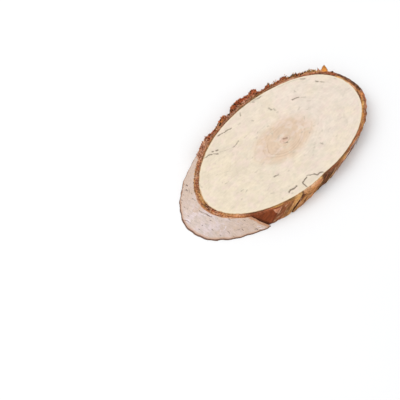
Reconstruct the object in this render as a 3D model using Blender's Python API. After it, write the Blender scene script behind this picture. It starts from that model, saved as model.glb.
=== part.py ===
"""An oval slice of birch branch, sawn on a slant, with its bark still on.

The slice lies on its lower sawn face. The line of the branch leans towards +X, so the upper
face stands further that way than the lower one and the bark slopes with it. White paper bark
is left round the -X end. Elsewhere it has come away, which bares the red-brown inner bark, and
the saw has torn that up into shreds along the far rim.
"""

import math
import random

import bmesh
import bpy
from mathutils import Vector

# Driving dimensions, in metres
THICKNESS = 0.008
WOOD_DIAMETER = 0.0724  # of the branch without its bark, measured square to the branch
FACE_LENGTH = 0.132  # of the sawn wood, along the slant
INNER_BARK = 0.00165
PAPER_BARK = 0.0006
CLEARANCE = 0.0003  # between one layer and the next
ARRIS = 0.0002  # how much the saw's sharp edges are worn
SHARP_ANGLE = 35.0  # degrees, above which an edge is shaded sharp

# White bark: where it stops along the branch, and how it stands off
NEAR_TEAR_STATION = -0.0297  # from the origin, where the bark at the -X end stops
FAR_TEAR_STATION = -0.0235  # where it stops on the far side
TEAR_RAGGED = 0.0006  # how far the torn edges stray
FLARE = 0.0002  # how far the white bark stands off at the lower face
CURL = 0.0002  # how far it lifts at its torn edge
CURL_REACH = 0.004
BARK_WAVES = ((17, 0.00012), (41, 0.00010))  # waves round the branch, and their height

# The branch isn't quite round: lobes round it, share of the radius, and where each one peaks
OUTLINE_LOBES = ((3, 0.0070, -155.0), (4, 0.0035, 120.0), (5, 0.0040, 160.0))
DENT_ANGLE = -89.0  # a flat spot on the near side
DENT_DEPTH = 0.0007
DENT_WIDTH = 7.0  # degrees

# Strips of torn fibre that run along the branch: where, half width in degrees, height
FIBRE_STRIPS = (
    (-116.0, 3.5, 0.00035),
    (-104.5, 2.2, 0.00075),
    (-99.0, 1.6, 0.00045),
    (-92.0, 3.0, 0.00085),
    (-84.0, 1.5, 0.00050),
    (-77.0, 2.8, 0.00070),
    (-64.0, 2.0, 0.00040),
    (-54.0, 2.2, 0.00050),
    (-31.0, 2.6, 0.00020),
    (-16.0, 3.0, 0.00030),
    (37.0, 2.0, 0.00045),
    (50.0, 2.4, 0.00050),
    (66.0, 1.8, 0.00045),
    (83.0, 2.6, 0.00070),
    (101.0, 2.0, 0.00055),
    (117.0, 2.4, 0.00060),
)
FIBRE_WAVES = ((61, 0.00022), (23, 0.00013))  # fine ridges between the strips
FIBRE_FADE = 0.0015  # how softly the ridges stop where the white bark covers them

# Bunches of torn fibre on the far rim: where, how far they spread in degrees, how many, length
SHRED_BUNCHES = (
    (29.5, 1.5, 3, 0.0042),
    (37.0, 1.2, 2, 0.0026),
    (46.0, 0.9, 2, 0.0022),
    (54.0, 1.2, 3, 0.0028),
    (65.5, 1.4, 3, 0.0030),
    (74.5, 2.0, 4, 0.0036),
    (80.0, 1.6, 4, 0.0030),
    (85.0, 1.8, 4, 0.0034),
    (90.0, 1.6, 3, 0.0028),
    (98.5, 1.8, 5, 0.0036),
    (104.0, 1.4, 3, 0.0026),
    (110.0, 2.0, 4, 0.0028),
    (116.0, 2.0, 4, 0.0026),
    (120.5, 1.2, 3, 0.0024),
)
SHRED_WIDTHS = (0.0011, 0.0022)
SHRED_THICKNESS = 0.0008
SHRED_SUNK = (0.0010, 0.0024)  # how far below the upper face a shred has its root
SHRED_SEED = 7

# How finely the solids are cut
WOOD_STEPS = 120
BARK_STEPS = 240
BARK_BANDS = 4
PAPER_BANDS = 10
SHRED_BANDS = 3

SLANT = FACE_LENGTH / WOOD_DIAMETER  # how much longer the cut is than the branch is wide
SHIFT = THICKNESS * math.sqrt(SLANT**2 - 1)  # of the upper face along X
ALONG = Vector((SHIFT, 0, THICKNESS)).normalized()  # the line of the branch
BARK_FACE = CLEARANCE + INNER_BARK  # of the inner bark, outside the wood
FACE_REACH = SLANT * (WOOD_DIAMETER / 2 + BARK_FACE)  # from the middle to the bark's far end


def clear_scene():
    for old in list(bpy.data.objects):
        bpy.data.objects.remove(old)


def smooth_step(value, low, high):
    share = min(1.0, max(0.0, (value - low) / (high - low)))
    return share * share * (3 - 2 * share)


def waves(angle, heights):
    """Ripples round the branch, as a sum of sines."""
    return sum(height * math.sin(count * angle + math.sin(5 * angle)) for count, height in heights)


def wood_radius(angle):
    """The branch's radius under its bark, at an angle round it in radians."""
    share = 1.0
    for lobes, size, peak in OUTLINE_LOBES:
        share += size * math.cos(lobes * angle - math.radians(peak))
    away = math.remainder(math.degrees(angle) - DENT_ANGLE, 360) / DENT_WIDTH
    return WOOD_DIAMETER / 2 * share - DENT_DEPTH * math.exp(-away * away)


def place(angle, depth, height):
    """A point at an angle round the branch, outside the wood by depth and above the lower face."""
    radius = wood_radius(angle) + depth
    lean = SHIFT * height / THICKNESS
    return Vector((lean + SLANT * radius * math.cos(angle), radius * math.sin(angle), height))


def outward(angle):
    """The level direction that points away from the slice's rim."""
    return Vector((math.cos(angle) / SLANT, math.sin(angle), 0)).normalized()


def tear_angle(station, height):
    """The angle at which a cut square to the branch crosses the bark's face."""
    lean = SHIFT * height / THICKNESS
    x = (station - height * ALONG.z) / ALONG.x - lean
    return math.acos(max(-1.0, min(1.0, x / FACE_REACH)))


def bare_share(angle, height):
    """1 where the inner bark is bare, and 0 under the white bark."""
    from_end = abs(math.remainder(angle - math.pi, 2 * math.pi))
    station = FAR_TEAR_STATION if math.sin(angle) > 0 else NEAR_TEAR_STATION
    past_tear = from_end - (math.pi - tear_angle(station + TEAR_RAGGED, height))
    return smooth_step(past_tear * WOOD_DIAMETER / 2, FIBRE_FADE, 2.5 * FIBRE_FADE)


def fibre_relief(angle, height):
    """How far the bare inner bark's ridges stand out."""
    relief = waves(angle, FIBRE_WAVES)
    for where, half_width, rise in FIBRE_STRIPS:
        away = abs(math.remainder(math.degrees(angle) - where, 360)) / half_width
        unevenness = 0.75 + 0.25 * math.sin(where + 5 * height / THICKNESS)
        relief += rise * unevenness * smooth_step(-away, -1.0, -0.45)
    return relief * bare_share(angle, height)


def add_object(name, bm, colour, roughness):
    """Makes the object for one sub-part, with a material of its own."""
    bmesh.ops.recalc_face_normals(bm, faces=bm.faces)
    mesh = bpy.data.meshes.new(name)
    bm.to_mesh(mesh)
    bm.free()
    mesh.shade_smooth()
    mesh.set_sharp_from_angle(angle=math.radians(SHARP_ANGLE))
    material = bpy.data.materials.new(name)
    material.use_nodes = True
    shader = material.node_tree.nodes["Principled BSDF"]
    shader.inputs["Base Color"].default_value = (*colour, 1)
    shader.inputs["Roughness"].default_value = roughness
    shader.inputs["Metallic"].default_value = 0
    mesh.materials.append(material)
    part = bpy.data.objects.new(name, mesh)
    bpy.context.scene.collection.objects.link(part)
    return part


def skin(bm, rows, closed):
    """Joins rows of points with four-sided faces. A closed row runs all the way round."""
    steps = len(rows[0]) if closed else len(rows[0]) - 1
    for lower, upper in zip(rows, rows[1:]):
        for i in range(steps):
            j = (i + 1) % len(lower)
            bm.faces.new((lower[i], lower[j], upper[j], upper[i]))


def make_wood():
    """The sawn wood: two flat faces, a sloping side, and saw edges that are a little worn."""
    bm = bmesh.new()
    turns = [2 * math.pi * i / WOOD_STEPS for i in range(WOOD_STEPS)]
    rows = [[bm.verts.new(place(a, 0, h)) for a in turns] for h in (0, THICKNESS)]
    skin(bm, rows, closed=True)
    for row in rows:
        bm.faces.new(row)
    saw_edges = [e for e in bm.edges if abs(e.verts[0].co.z - e.verts[1].co.z) < THICKNESS / 2]
    bmesh.ops.recalc_face_normals(bm, faces=bm.faces)
    bmesh.ops.bevel(bm, geom=saw_edges, offset=ARRIS, segments=1, affect="EDGES")
    return add_object("wood", bm, (0.80, 0.70, 0.56), 0.72)


def make_inner_bark():
    """The red-brown ring round the wood, ridged where it is bare, with the shreds on its far rim."""
    bm = bmesh.new()
    turns = [2 * math.pi * i / BARK_STEPS for i in range(BARK_STEPS)]
    heights = [THICKNESS * i / BARK_BANDS for i in range(BARK_BANDS + 1)]
    outer = [
        [bm.verts.new(place(a, BARK_FACE + fibre_relief(a, h), h)) for a in turns]
        for h in heights
    ]
    inner = [[bm.verts.new(place(a, CLEARANCE, h)) for a in turns] for h in (THICKNESS, 0)]
    skin(bm, [*outer, *inner, outer[0]], closed=True)
    bark = add_object("inner_bark", bm, (0.26, 0.085, 0.035), 0.80)
    join_shreds(bark)
    return bark


def shred(chance, angle, length):
    """One torn flake of fibre: a bent, tapering blade with its root sunk in the bark."""
    root = place(angle, CLEARANCE + INNER_BARK / 2, THICKNESS - chance.uniform(*SHRED_SUNK))
    side = Vector((-math.sin(angle) * SLANT, math.cos(angle), 0)).normalized()
    lean = Vector((0, 0, chance.uniform(0.35, 1.1))) + side * chance.uniform(-0.6, 0.4)
    heading = (outward(angle) + lean).normalized()
    lift = Vector((0, 0, chance.uniform(-0.4, 0.7)))
    bend = (lift + side * chance.uniform(-0.8, 0.8)) * length / 2
    width = chance.uniform(*SHRED_WIDTHS)
    bm = bmesh.new()
    rows = []
    for i in range(SHRED_BANDS + 1):
        share = i / SHRED_BANDS
        middle = root + heading * (length + INNER_BARK) * share + bend * share * share
        across = side * width / 2 * (1 - 0.6 * share * share)
        through = heading.cross(side).normalized() * SHRED_THICKNESS / 2 * (1 - share / 2)
        corners = (-across - through, across - through, across + through, through - across)
        rows.append([bm.verts.new(middle + c) for c in corners])
    skin(bm, rows, closed=True)
    bm.faces.new(rows[0])
    bm.faces.new(rows[-1])
    bmesh.ops.recalc_face_normals(bm, faces=bm.faces)
    mesh = bpy.data.meshes.new("shred")
    bm.to_mesh(mesh)
    bm.free()
    return bpy.data.objects.new("shred", mesh)


def join_shreds(bark):
    """Unites every shred with the bark in one Boolean, then takes the loose shreds away."""
    chance = random.Random(SHRED_SEED)
    bunch = bpy.data.collections.new("shreds")
    bpy.context.scene.collection.children.link(bunch)
    for where, spread, count, length in SHRED_BUNCHES:
        for i in range(count):
            share = (i + 0.5) / count * 2 - 1
            angle = math.radians(where + spread * share + chance.uniform(-0.3, 0.3))
            bunch.objects.link(shred(chance, angle, length * chance.uniform(0.7, 1.1)))
    union = bark.modifiers.new("join shreds", "BOOLEAN")
    union.operation = "UNION"
    union.operand_type = "COLLECTION"
    union.collection = bunch
    union.solver = "EXACT"
    with bpy.context.temp_override(object=bark, active_object=bark):
        bpy.ops.object.modifier_apply(modifier=union.name)
    for piece in list(bunch.objects):
        bpy.data.objects.remove(piece)
    bpy.data.collections.remove(bunch)


def make_paper_bark():
    """The white bark: a curved sheet round the -X end that is torn off across the branch."""
    bm = bmesh.new()
    steps = round((1 - tear_angle(NEAR_TEAR_STATION, THICKNESS) / math.pi) * BARK_STEPS)
    outer = []
    inner = []
    for band in range(PAPER_BANDS + 1):
        level = band / PAPER_BANDS
        height = THICKNESS * level
        near = tear_angle(NEAR_TEAR_STATION + TEAR_RAGGED * math.sin(7 * level + 0.6), height)
        far = tear_angle(FAR_TEAR_STATION + TEAR_RAGGED * math.sin(5 * level + 1.2), height)
        sweep = 2 * math.pi - near - far
        inner_row = []
        outer_row = []
        for i in range(steps + 1):
            share = i / steps
            angle = far + sweep * share
            from_tear = min(share, 1 - share) * sweep * WOOD_DIAMETER / 2
            lift = FLARE * (1 - level) + CURL * math.exp(-((from_tear / CURL_REACH) ** 2))
            back = BARK_FACE + CLEARANCE + lift
            front = back + PAPER_BARK + waves(angle, BARK_WAVES)
            inner_row.append(bm.verts.new(place(angle, back, height)))
            outer_row.append(bm.verts.new(place(angle, front, height)))
        inner.append(inner_row)
        outer.append(outer_row)
    skin(bm, [*outer, *reversed(inner), outer[0]], closed=False)
    for end in (0, -1):
        bm.faces.new([row[end] for row in [*outer, *reversed(inner)]])
    return add_object("paper_bark", bm, (0.74, 0.66, 0.61), 0.62)


def main():
    clear_scene()
    make_wood()
    make_inner_bark()
    make_paper_bark()


main()
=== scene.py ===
"""The looks of an oval birch slice, sawn on a slant, with its bark still on.

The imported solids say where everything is. The sawn wood, the red-brown inner bark and the sheet
of white bark round the left end are made again here as fine meshes, with torn fibre laid on the
near side and standing up along the far rim. Shapes are worked out in millimetres, and each mesh
is written in metres.
"""

import math
import random

import bmesh
import bpy
import numpy as np
from bpy.props import FloatProperty, FloatVectorProperty, IntProperty
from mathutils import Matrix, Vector, noise


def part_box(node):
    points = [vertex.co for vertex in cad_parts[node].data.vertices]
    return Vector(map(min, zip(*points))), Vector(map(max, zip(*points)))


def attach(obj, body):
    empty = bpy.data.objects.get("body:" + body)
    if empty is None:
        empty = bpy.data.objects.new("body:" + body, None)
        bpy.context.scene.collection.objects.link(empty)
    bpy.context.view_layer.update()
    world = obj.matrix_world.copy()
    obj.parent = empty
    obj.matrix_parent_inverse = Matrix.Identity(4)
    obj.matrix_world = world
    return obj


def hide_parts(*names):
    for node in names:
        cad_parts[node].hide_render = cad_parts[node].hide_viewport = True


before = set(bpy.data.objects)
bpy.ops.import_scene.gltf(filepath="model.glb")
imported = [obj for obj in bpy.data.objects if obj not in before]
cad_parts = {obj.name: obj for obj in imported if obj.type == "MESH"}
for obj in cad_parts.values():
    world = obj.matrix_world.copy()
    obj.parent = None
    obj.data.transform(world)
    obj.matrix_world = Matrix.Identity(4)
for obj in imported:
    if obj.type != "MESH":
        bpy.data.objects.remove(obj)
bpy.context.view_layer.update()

bl_info = {
    "name": "Birch slice",
    "version": (1, 0, 0),
    "blender": (4, 5, 0),
    "location": "View3D > Sidebar > Birch slice",
    "description": "Dresses the solids of a slanted birch slice in fine wood and bark",
    "category": "Object",
}

BODY = "root"
MM = 0.001  # a millimetre, in metres
WOOD_LOW, WOOD_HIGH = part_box("wood")

# The branch, as the solids have it
CLEARANCE = 0.3
OUTLINE_LOBES = ((3, 0.0070, -155.0), (4, 0.0035, 120.0), (5, 0.0040, 160.0))
DENT_ANGLE = -89.0
DENT_DEPTH = 0.7
DENT_WIDTH = 7.0
BARK_WAVES = ((17, 0.12), (41, 0.10))
FIBRE_WAVES = ((61, 0.16), (23, 0.10))
FIBRE_FADE = 1.5
NEAR_TEAR = (-28.6, -30.9)  # where the white bark ends, along the branch: at the lower and upper face
FAR_TEAR = (-23.5, -23.5)
CURL = 0.15
CURL_REACH = 3.0


def wrapped(degrees):
    """An angle in degrees, brought between -180 and 180."""
    return (degrees + 180.0) % 360.0 - 180.0


def smooth_step(value, low, high):
    """A smooth change from 0 to 1 as the value goes from low to high."""
    share = np.clip((value - low) / (high - low), 0.0, 1.0)
    return share * share * (3 - 2 * share)


def rough(spots, scale, seed=0.0, octaves=1):
    """Smooth noise near -1 to 1 at each spot. scale is lumps to a millimetre, along each axis."""
    moved = spots.reshape(-1, 3) * scale + (seed, 1.7 * seed, -seed)
    if octaves == 1:
        values = [noise.noise(spot) for spot in moved.tolist()]
    else:
        values = [noise.fractal(spot, 0.9, 2.1, octaves) for spot in moved.tolist()]
    return np.array(values).reshape(spots.shape[:-1])


class Branch:
    """The leaning branch that the slice was sawn from, in millimetres.

    An angle runs round the branch in radians: 0 at the slice's +X end, a quarter turn on its far
    side. A depth is measured out from the wood, and a height up from the lower sawn face."""

    def __init__(self, sizes):
        self.thickness = sizes.thickness / MM
        self.wood_radius = sizes.wood_diameter / MM / 2
        self.inner_bark = sizes.inner_bark / MM
        self.slant = sizes.face_length / sizes.wood_diameter
        self.shift = self.thickness * math.sqrt(self.slant**2 - 1)
        self.along = np.array((self.shift, 0.0, self.thickness)) / (self.thickness * self.slant)
        self.square = np.array((self.along[2], 0.0, -self.along[0]))
        self.bark_face = CLEARANCE + self.inner_bark
        self.reach = self.slant * (self.wood_radius + self.bark_face)

    def radius(self, angle):
        """The branch's radius under its bark."""
        share = 1.0
        for lobes, size, peak in OUTLINE_LOBES:
            share = share + size * np.cos(lobes * angle - math.radians(peak))
        away = wrapped(np.degrees(angle) - DENT_ANGLE) / DENT_WIDTH
        return self.wood_radius * share - DENT_DEPTH * np.exp(-away * away)

    def place(self, angle, depth, height):
        """Points at an angle, a depth and a height."""
        radius = self.radius(angle) + depth
        x = self.shift * height / self.thickness + self.slant * radius * np.cos(angle)
        return np.stack(np.broadcast_arrays(x, radius * np.sin(angle), height), axis=-1)

    def grain(self, points):
        """The points seen down the branch: across it, to its far side, and along it."""
        return np.stack((points @ self.square, points[..., 1], points @ self.along), axis=-1)

    def tear_angle(self, station, height):
        """The angle at which a cut square to the branch crosses the bark's face."""
        lean = self.shift * height / self.thickness
        x = (station - height * self.along[2]) / self.along[0] - lean
        return np.arccos(np.clip(x / self.reach, -1.0, 1.0))

    def tears(self, height):
        """The angles of the white bark's near and far tears, both counted from the +X end."""
        share = height / self.thickness
        stations = (low + (high - low) * share for low, high in (NEAR_TEAR, FAR_TEAR))
        return tuple(self.tear_angle(station, height) for station in stations)

    def bare_share(self, angle, height):
        """1 where the inner bark is bare, and 0 under the white bark."""
        near, far = self.tears(height)
        turn = np.radians(wrapped(np.degrees(angle)))
        clear = np.where(turn < 0, near, far) - np.abs(turn)
        return smooth_step(clear * self.wood_radius, 0.1, FIBRE_FADE)


def ripple(angle, waves):
    """Ripples round the branch, as a sum of sines."""
    return sum(height * np.sin(count * angle + np.sin(5 * angle)) for count, height in waves)


# Meshes


def grid_faces(rows, columns, closed_rows, closed_columns):
    """Four-sided faces over a grid of points, which may close on itself either way."""
    row = np.arange(rows if closed_rows else rows - 1)[:, None]
    column = np.arange(columns if closed_columns else columns - 1)[None, :]
    above = (row + 1) % rows
    beside = (column + 1) % columns
    corners = (
        row * columns + column,
        row * columns + beside,
        above * columns + beside,
        above * columns + column,
    )
    return np.stack(corners, axis=-1).reshape(-1, 4)


def write_mesh(name, points, faces, layers, material, sharp=50.0):
    """A closed object from points in millimetres. layers are values kept on its points."""
    mesh = bpy.data.meshes.new(name)
    mesh.from_pydata((np.asarray(points) * MM).tolist(), [], faces)
    turned = bmesh.new()
    turned.from_mesh(mesh)
    bmesh.ops.recalc_face_normals(turned, faces=turned.faces)
    turned.to_mesh(mesh)
    turned.free()
    for layer, values in layers.items():
        values = np.asarray(values, dtype=float)
        if values.ndim == 1:
            mesh.attributes.new(layer, "FLOAT", "POINT").data.foreach_set("value", values)
            continue
        colours = np.concatenate((values, np.ones((len(values), 1))), axis=1)
        mesh.attributes.new(layer, "FLOAT_COLOR", "POINT").data.foreach_set("color", colours.ravel())
    mesh.shade_smooth()
    mesh.set_sharp_from_angle(angle=math.radians(sharp))
    mesh.materials.append(material)
    piece = bpy.data.objects.new(name, mesh)
    bpy.context.scene.collection.objects.link(piece)
    return piece


class Heap:
    """Many small closed pieces gathered into one mesh, each with a colour of its own."""

    def __init__(self):
        self.points = []
        self.faces = []
        self.tones = []

    def add(self, points, faces, tones):
        """Adds one piece: its points, its faces, and a colour for each point."""
        start = len(self.points)
        self.points.extend(points)
        self.faces.extend([tuple(start + i for i in face) for face in faces])
        self.tones.extend(tones)

    def blade(self, centres, sides, normals, widths, thicknesses, tones):
        """A flat, six-sided blade along a path, closed at both ends."""
        corners = ((-1, 0), (-0.6, 1), (0.6, 1), (1, 0), (0.6, -1), (-0.6, -1))
        count = len(corners)
        points = [
            centre + side * across * width / 2 + normal * up * thickness / 2
            for centre, side, normal, width, thickness in zip(centres, sides, normals, widths, thicknesses)
            for across, up in corners
        ]
        faces = grid_faces(len(centres), count, False, True).tolist()
        faces.append(range(count))
        faces.append(range(len(points) - count, len(points)))
        # Painted shade: the points along each side edge get half the tone
        shades = [tone * (0.5 if abs(across) == 1 else 1.0) for tone in tones for across, up in corners]
        self.add(points, faces, shades)

    def crumb(self, centre, size, tone, chance):
        """A small rough lump."""
        lump = bmesh.new()
        bmesh.ops.create_icosphere(lump, subdivisions=1, radius=1.0)
        stretch = np.array([chance.uniform(0.6, 1.3) for axis in range(3)])
        points = [
            centre + np.array(v.co) * stretch * size / 2 * chance.uniform(0.7, 1.25) for v in lump.verts
        ]
        faces = [[v.index for v in face.verts] for face in lump.faces]
        lump.free()
        self.add(points, faces, [tone] * len(points))

    def write(self, name, material):
        """All the pieces as one object."""
        return write_mesh(name, self.points, self.faces, {"tone": np.array(self.tones)}, material)


def unit(vectors):
    """The vectors, each made 1 long."""
    return vectors / np.linalg.norm(vectors, axis=-1, keepdims=True)


# Materials


class Finish:
    """One material and its nodes. Each step takes sockets or numbers, and gives back a socket."""

    def __init__(self, name, roughness, specular):
        self.material = bpy.data.materials.new(name)
        self.material.use_nodes = True
        self.tree = self.material.node_tree
        self.shader = self.tree.nodes["Principled BSDF"]
        self.shader.inputs["Roughness"].default_value = roughness
        self.shader.inputs["Specular IOR Level"].default_value = specular
        place = self.node("TexCoord").outputs["Object"]
        self.place = self.vector("SCALE", place, scale=1 / MM)

    def node(self, kind, inputs=None, **settings):
        """A new node, its inputs fed and its settings made."""
        made = self.tree.nodes.new("ShaderNode" + kind)
        for name, value in settings.items():
            setattr(made, name, value)
        for name, value in (inputs or {}).items():
            self.feed(made.inputs[name], value)
        return made

    def feed(self, socket, value):
        """Links a socket to another one, or sets it to a number or a colour."""
        if isinstance(value, bpy.types.NodeSocket):
            self.tree.links.new(value, socket)
        elif socket.type == "RGBA":
            socket.default_value = (*value, 1.0)
        else:
            socket.default_value = value

    def vector(self, operation, first, second=(0, 0, 0), scale=1.0):
        """One sum on vectors."""
        inputs = {0: first, "Scale": scale} if operation == "SCALE" else {0: first}
        if operation in ("ADD", "SUBTRACT", "MULTIPLY", "DOT_PRODUCT"):
            inputs[1] = second
        made = self.node("VectorMath", inputs, operation=operation)
        return made.outputs["Value" if operation in ("DOT_PRODUCT", "LENGTH") else "Vector"]

    def math(self, operation, first, second=0.0):
        """One sum on numbers, with up to two of them."""
        return self.node("Math", {0: first, 1: second}, operation=operation).outputs[0]

    def plus(self, first, second):
        """Both added up."""
        return self.math("ADD", first, second)

    def minus(self, first, second):
        """The first less the second."""
        return self.math("SUBTRACT", first, second)

    def times(self, first, second):
        """Both multiplied."""
        return self.math("MULTIPLY", first, second)

    def part(self, place, axis):
        """One coordinate of a place."""
        return self.node("SeparateXYZ", {0: place}).outputs[axis]

    def grain(self, branch):
        """The place seen down the branch: across it, to its far side, and along it."""
        across = self.vector("DOT_PRODUCT", self.place, tuple(branch.square))
        along = self.vector("DOT_PRODUCT", self.place, tuple(branch.along))
        far = self.part(self.place, "Y")
        return self.node("CombineXYZ", {0: across, 1: far, 2: along}).outputs[0]

    def noise(self, place, scale, detail=2.0, roughness=0.5, shift=0.0):
        """Noise between 0 and 1. scale is lumps to a millimetre, along each axis."""
        spot = self.vector("MULTIPLY", place, scale)
        spot = self.vector("ADD", spot, (shift, -shift, 2 * shift))
        inputs = {"Vector": spot, "Scale": 1.0, "Detail": detail, "Roughness": roughness}
        return self.node("TexNoise", inputs).outputs[0]

    def cells(self, place, scale, output="Distance"):
        """Cells of about one over scale millimetres."""
        return self.node("TexVoronoi", {"Vector": place, "Scale": scale}).outputs[output]

    def step(self, value, low, high, start=0.0, end=1.0):
        """A smooth change from start to end as the value goes from low to high."""
        names = ("Value", "From Min", "From Max", "To Min", "To Max")
        inputs = dict(zip(names, (value, low, high, start, end)))
        return self.node("MapRange", inputs, interpolation_type="SMOOTHSTEP").outputs["Result"]

    def mix(self, share, first, second):
        """The first colour, turned into the second as far as the share says."""
        made = self.node("Mix", data_type="RGBA")
        for socket, value in ((0, share), (6, first), (7, second)):
            self.feed(made.inputs[socket], value)
        return made.outputs[2]

    def tint(self, colour, light):
        """The colour made lighter or darker by a factor."""
        return self.vector("SCALE", colour, scale=light)

    def over(self, colour, value, start, full, strength, tone):
        """The colour with a tone over it, where the value goes from start to full."""
        return self.mix(self.step(value, start, full, 0, strength), colour, tone)

    def clouds(self, colour, place, rows):
        """The colour with clouds over it: each a scale, three more numbers of its noise, the
        noise where it starts and where it is full, how strong it is then, and its tone."""
        for scale, detail, roughness, shift, start, full, strength, tone in rows:
            lumps = self.noise(place, scale, detail, roughness, shift)
            colour = self.over(colour, lumps, start, full, strength, tone)
        return colour

    def attribute(self, name, output="Fac"):
        """A value kept on the mesh's points."""
        return self.node("Attribute", attribute_name=name).outputs[output]

    def bump(self, height, distance, strength=1.0, below=None):
        """Fine relief. distance is its height in millimetres."""
        inputs = {"Height": height, "Distance": distance * MM, "Strength": strength}
        if below is not None:
            inputs["Normal"] = below
        return self.node("Bump", inputs).outputs["Normal"]

    def finish(self, colour, normal, roughness=None):
        """Hands everything to the shader, and gives back the material."""
        self.feed(self.shader.inputs["Base Color"], colour)
        self.feed(self.shader.inputs["Normal"], normal)
        if roughness is not None:
            self.feed(self.shader.inputs["Roughness"], roughness)
        return self.material


# Settings


class BranchSizes(bpy.types.PropertyGroup):
    """The branch that the slice was sawn from."""

    thickness: FloatProperty(
        name="Thickness", description="Between the two sawn faces",
        default=WOOD_HIGH.z - WOOD_LOW.z, unit="LENGTH", precision=4,
    )
    wood_diameter: FloatProperty(
        name="Wood diameter", description="Without its bark, measured square to the branch",
        default=0.0724, unit="LENGTH", precision=4,
    )
    face_length: FloatProperty(
        name="Face length", description="Of the sawn wood, along the slant",
        default=0.132, unit="LENGTH", precision=4,
    )
    inner_bark: FloatProperty(
        name="Inner bark", description="Thickness of the red-brown inner bark",
        default=0.00165, unit="LENGTH", precision=5,
    )


class WoodLooks(bpy.types.PropertyGroup):
    """The sawn wood."""

    cream: FloatVectorProperty(
        name="Cream", description="The wood at the slice's left end",
        default=(0.735, 0.640, 0.500), size=3, subtype="COLOR", min=0, max=1,
    )
    rosy: FloatVectorProperty(
        name="Rosy", description="The wood at the slice's right end",
        default=(0.738, 0.642, 0.552), size=3, subtype="COLOR", min=0, max=1,
    )
    heart: FloatVectorProperty(
        name="Heart", description="The tint round the pith",
        default=(0.660, 0.500, 0.368), size=3, subtype="COLOR", min=0, max=1,
    )
    ring_width: FloatProperty(
        name="Ring width", description="From one growth ring to the next",
        default=0.0016, unit="LENGTH", precision=4,
    )
    crack_depth: FloatProperty(
        name="Crack depth", description="How deep the drying cracks are",
        default=0.00022, unit="LENGTH", precision=5,
    )
    cells: IntProperty(
        name="Face cells",
        description="Cells across the lower sawn face; the upper has three times as many",
        default=94, min=8,
    )


class BarkLooks(bpy.types.PropertyGroup):
    """The inner bark and the white bark."""

    columns: IntProperty(
        name="Columns", description="Points round the inner bark", default=1600, min=60,
    )
    rows: IntProperty(
        name="Rows", description="Points down the bark's slope", default=41, min=4,
    )
    sheet_columns: IntProperty(
        name="Sheet columns", description="Points round the white bark", default=520, min=20,
    )
    white: FloatVectorProperty(
        name="White bark", description="The white bark's main colour",
        default=(0.635, 0.515, 0.455), size=3, subtype="COLOR", min=0, max=1,
    )
    tan: FloatVectorProperty(
        name="Tan edge", description="The white bark's torn and cut edges",
        default=(0.440, 0.190, 0.090), size=3, subtype="COLOR", min=0, max=1,
    )


class StageLooks(bpy.types.PropertyGroup):
    """Floor, lights and camera."""

    floor_colour: FloatVectorProperty(
        name="Floor", description="The pale floor's colour",
        default=(0.872, 0.878, 0.888), size=3, subtype="COLOR", min=0, max=1,
    )
    sky_strength: FloatProperty(
        name="Sky strength", description="Of the even light from all round", default=0.93, min=0,
    )
    key_power: FloatProperty(
        name="Key power", description="Of the large soft light", default=6.0, min=0, unit="POWER",
    )
    elevation: FloatProperty(
        name="Camera elevation", description="How steeply the camera looks down",
        default=math.radians(57.1), subtype="ANGLE",
    )
    turn: FloatProperty(
        name="Camera turn", description="How far the camera is turned round the slice",
        default=math.radians(-46.4), subtype="ANGLE",
    )
    distance: FloatProperty(
        name="Camera distance", description="From the point that it looks at",
        default=0.8, unit="LENGTH",
    )
    lens: FloatProperty(
        name="Lens", description="Focal length on a 36 mm sensor", default=116.1, unit="CAMERA",
    )


# The sawn wood

ARRIS = 0.2  # how much the saw's sharp edges are worn
PITH = (1.3, -0.4)  # of the rings' middle, across the branch and to the far side
HEART = (1.4, 0.3)  # of the tinted heart's middle
HEART_RADIUS = 12.2
WALL_ROWS = 4  # of points down the wood's side

# Cracks, and flecks and stains, on the upper face: half the width, how dark, and then the points
# of a line, each from the face's middle along the slice and to the far side
CRACKS = (
    (0.34, 1.0, -14.7, -35.0, -14.7, -31.4, -14.1, -30.1, -12.4, -29.8, -9.3, -29.3),
    (0.3, 0.85, -8.4, -28.5, -6.6, -30.1, -4.3, -31.0),
    (0.38, 1.0, -4.3, -31.0, -3.7, -33.1, -1.6, -32.9, -0.3, -33.2, 0.9, -35.6),
    (0.42, 1.0, -25.6, -28.9, -23.7, -28.3, -21.2, -29.2, -18.8, -29.2),
    (0.32, 0.95, -43.8, 26.9, -41.6, 26.2, -39.4, 26.2, -36.8, 24.7, -34.4, 22.5),
    (0.24, 0.6, -32.6, 22.6, -28.9, 20.6, -24.6, 19.2),
    (0.34, 0.75, -24.6, 19.2, -22.2, 19.0, -18.6, 20.0), (0.45, 0.95, -35.9, 26.2, -35.3, 26.0),
    (0.45, 0.95, -33.4, 25.0, -32.7, 24.6),
    (0.32, 0.9, -24.6, 32.2, -21.7, 31.6, -19.7, 31.0, -17.2, 30.9, -14.2, 30.0),
    (0.22, 0.5, -47.2, 12.4, -41.8, 9.9, -38.5, 7.8, -35.7, 5.4),
    (0.3, 0.6, 32.6, 29.7, 36.5, 28.9, 40.3, 27.6, 45.9, 24.8),
    (0.34, 0.65, 51.7, 16.2, 52.9, 14.4, 53.7, 12.3), (0.3, 0.42, 54.0, -4.8, 59.0, -3.2, 62.3, -3.7),
    (0.26, 0.36, 47.8, -10.6, 42.9, -16.1, 38.4, -22.1), (0.34, 0.7, -1.3, 34.3, -3.2, 32.3),
    (0.45, 0.7, 3.0, 35.9, 6.7, 36.5, 9.4, 35.3, 11.0, 33.6),
    (0.42, 0.75, 11.4, 36.5, 14.6, 33.9, 17.5, 33.4), (0.25, 0.4, -36.9, 17.0, -39.1, 14.5),
    (0.25, 0.45, -31.5, 10.2, -31.9, 9.0),
)
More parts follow.
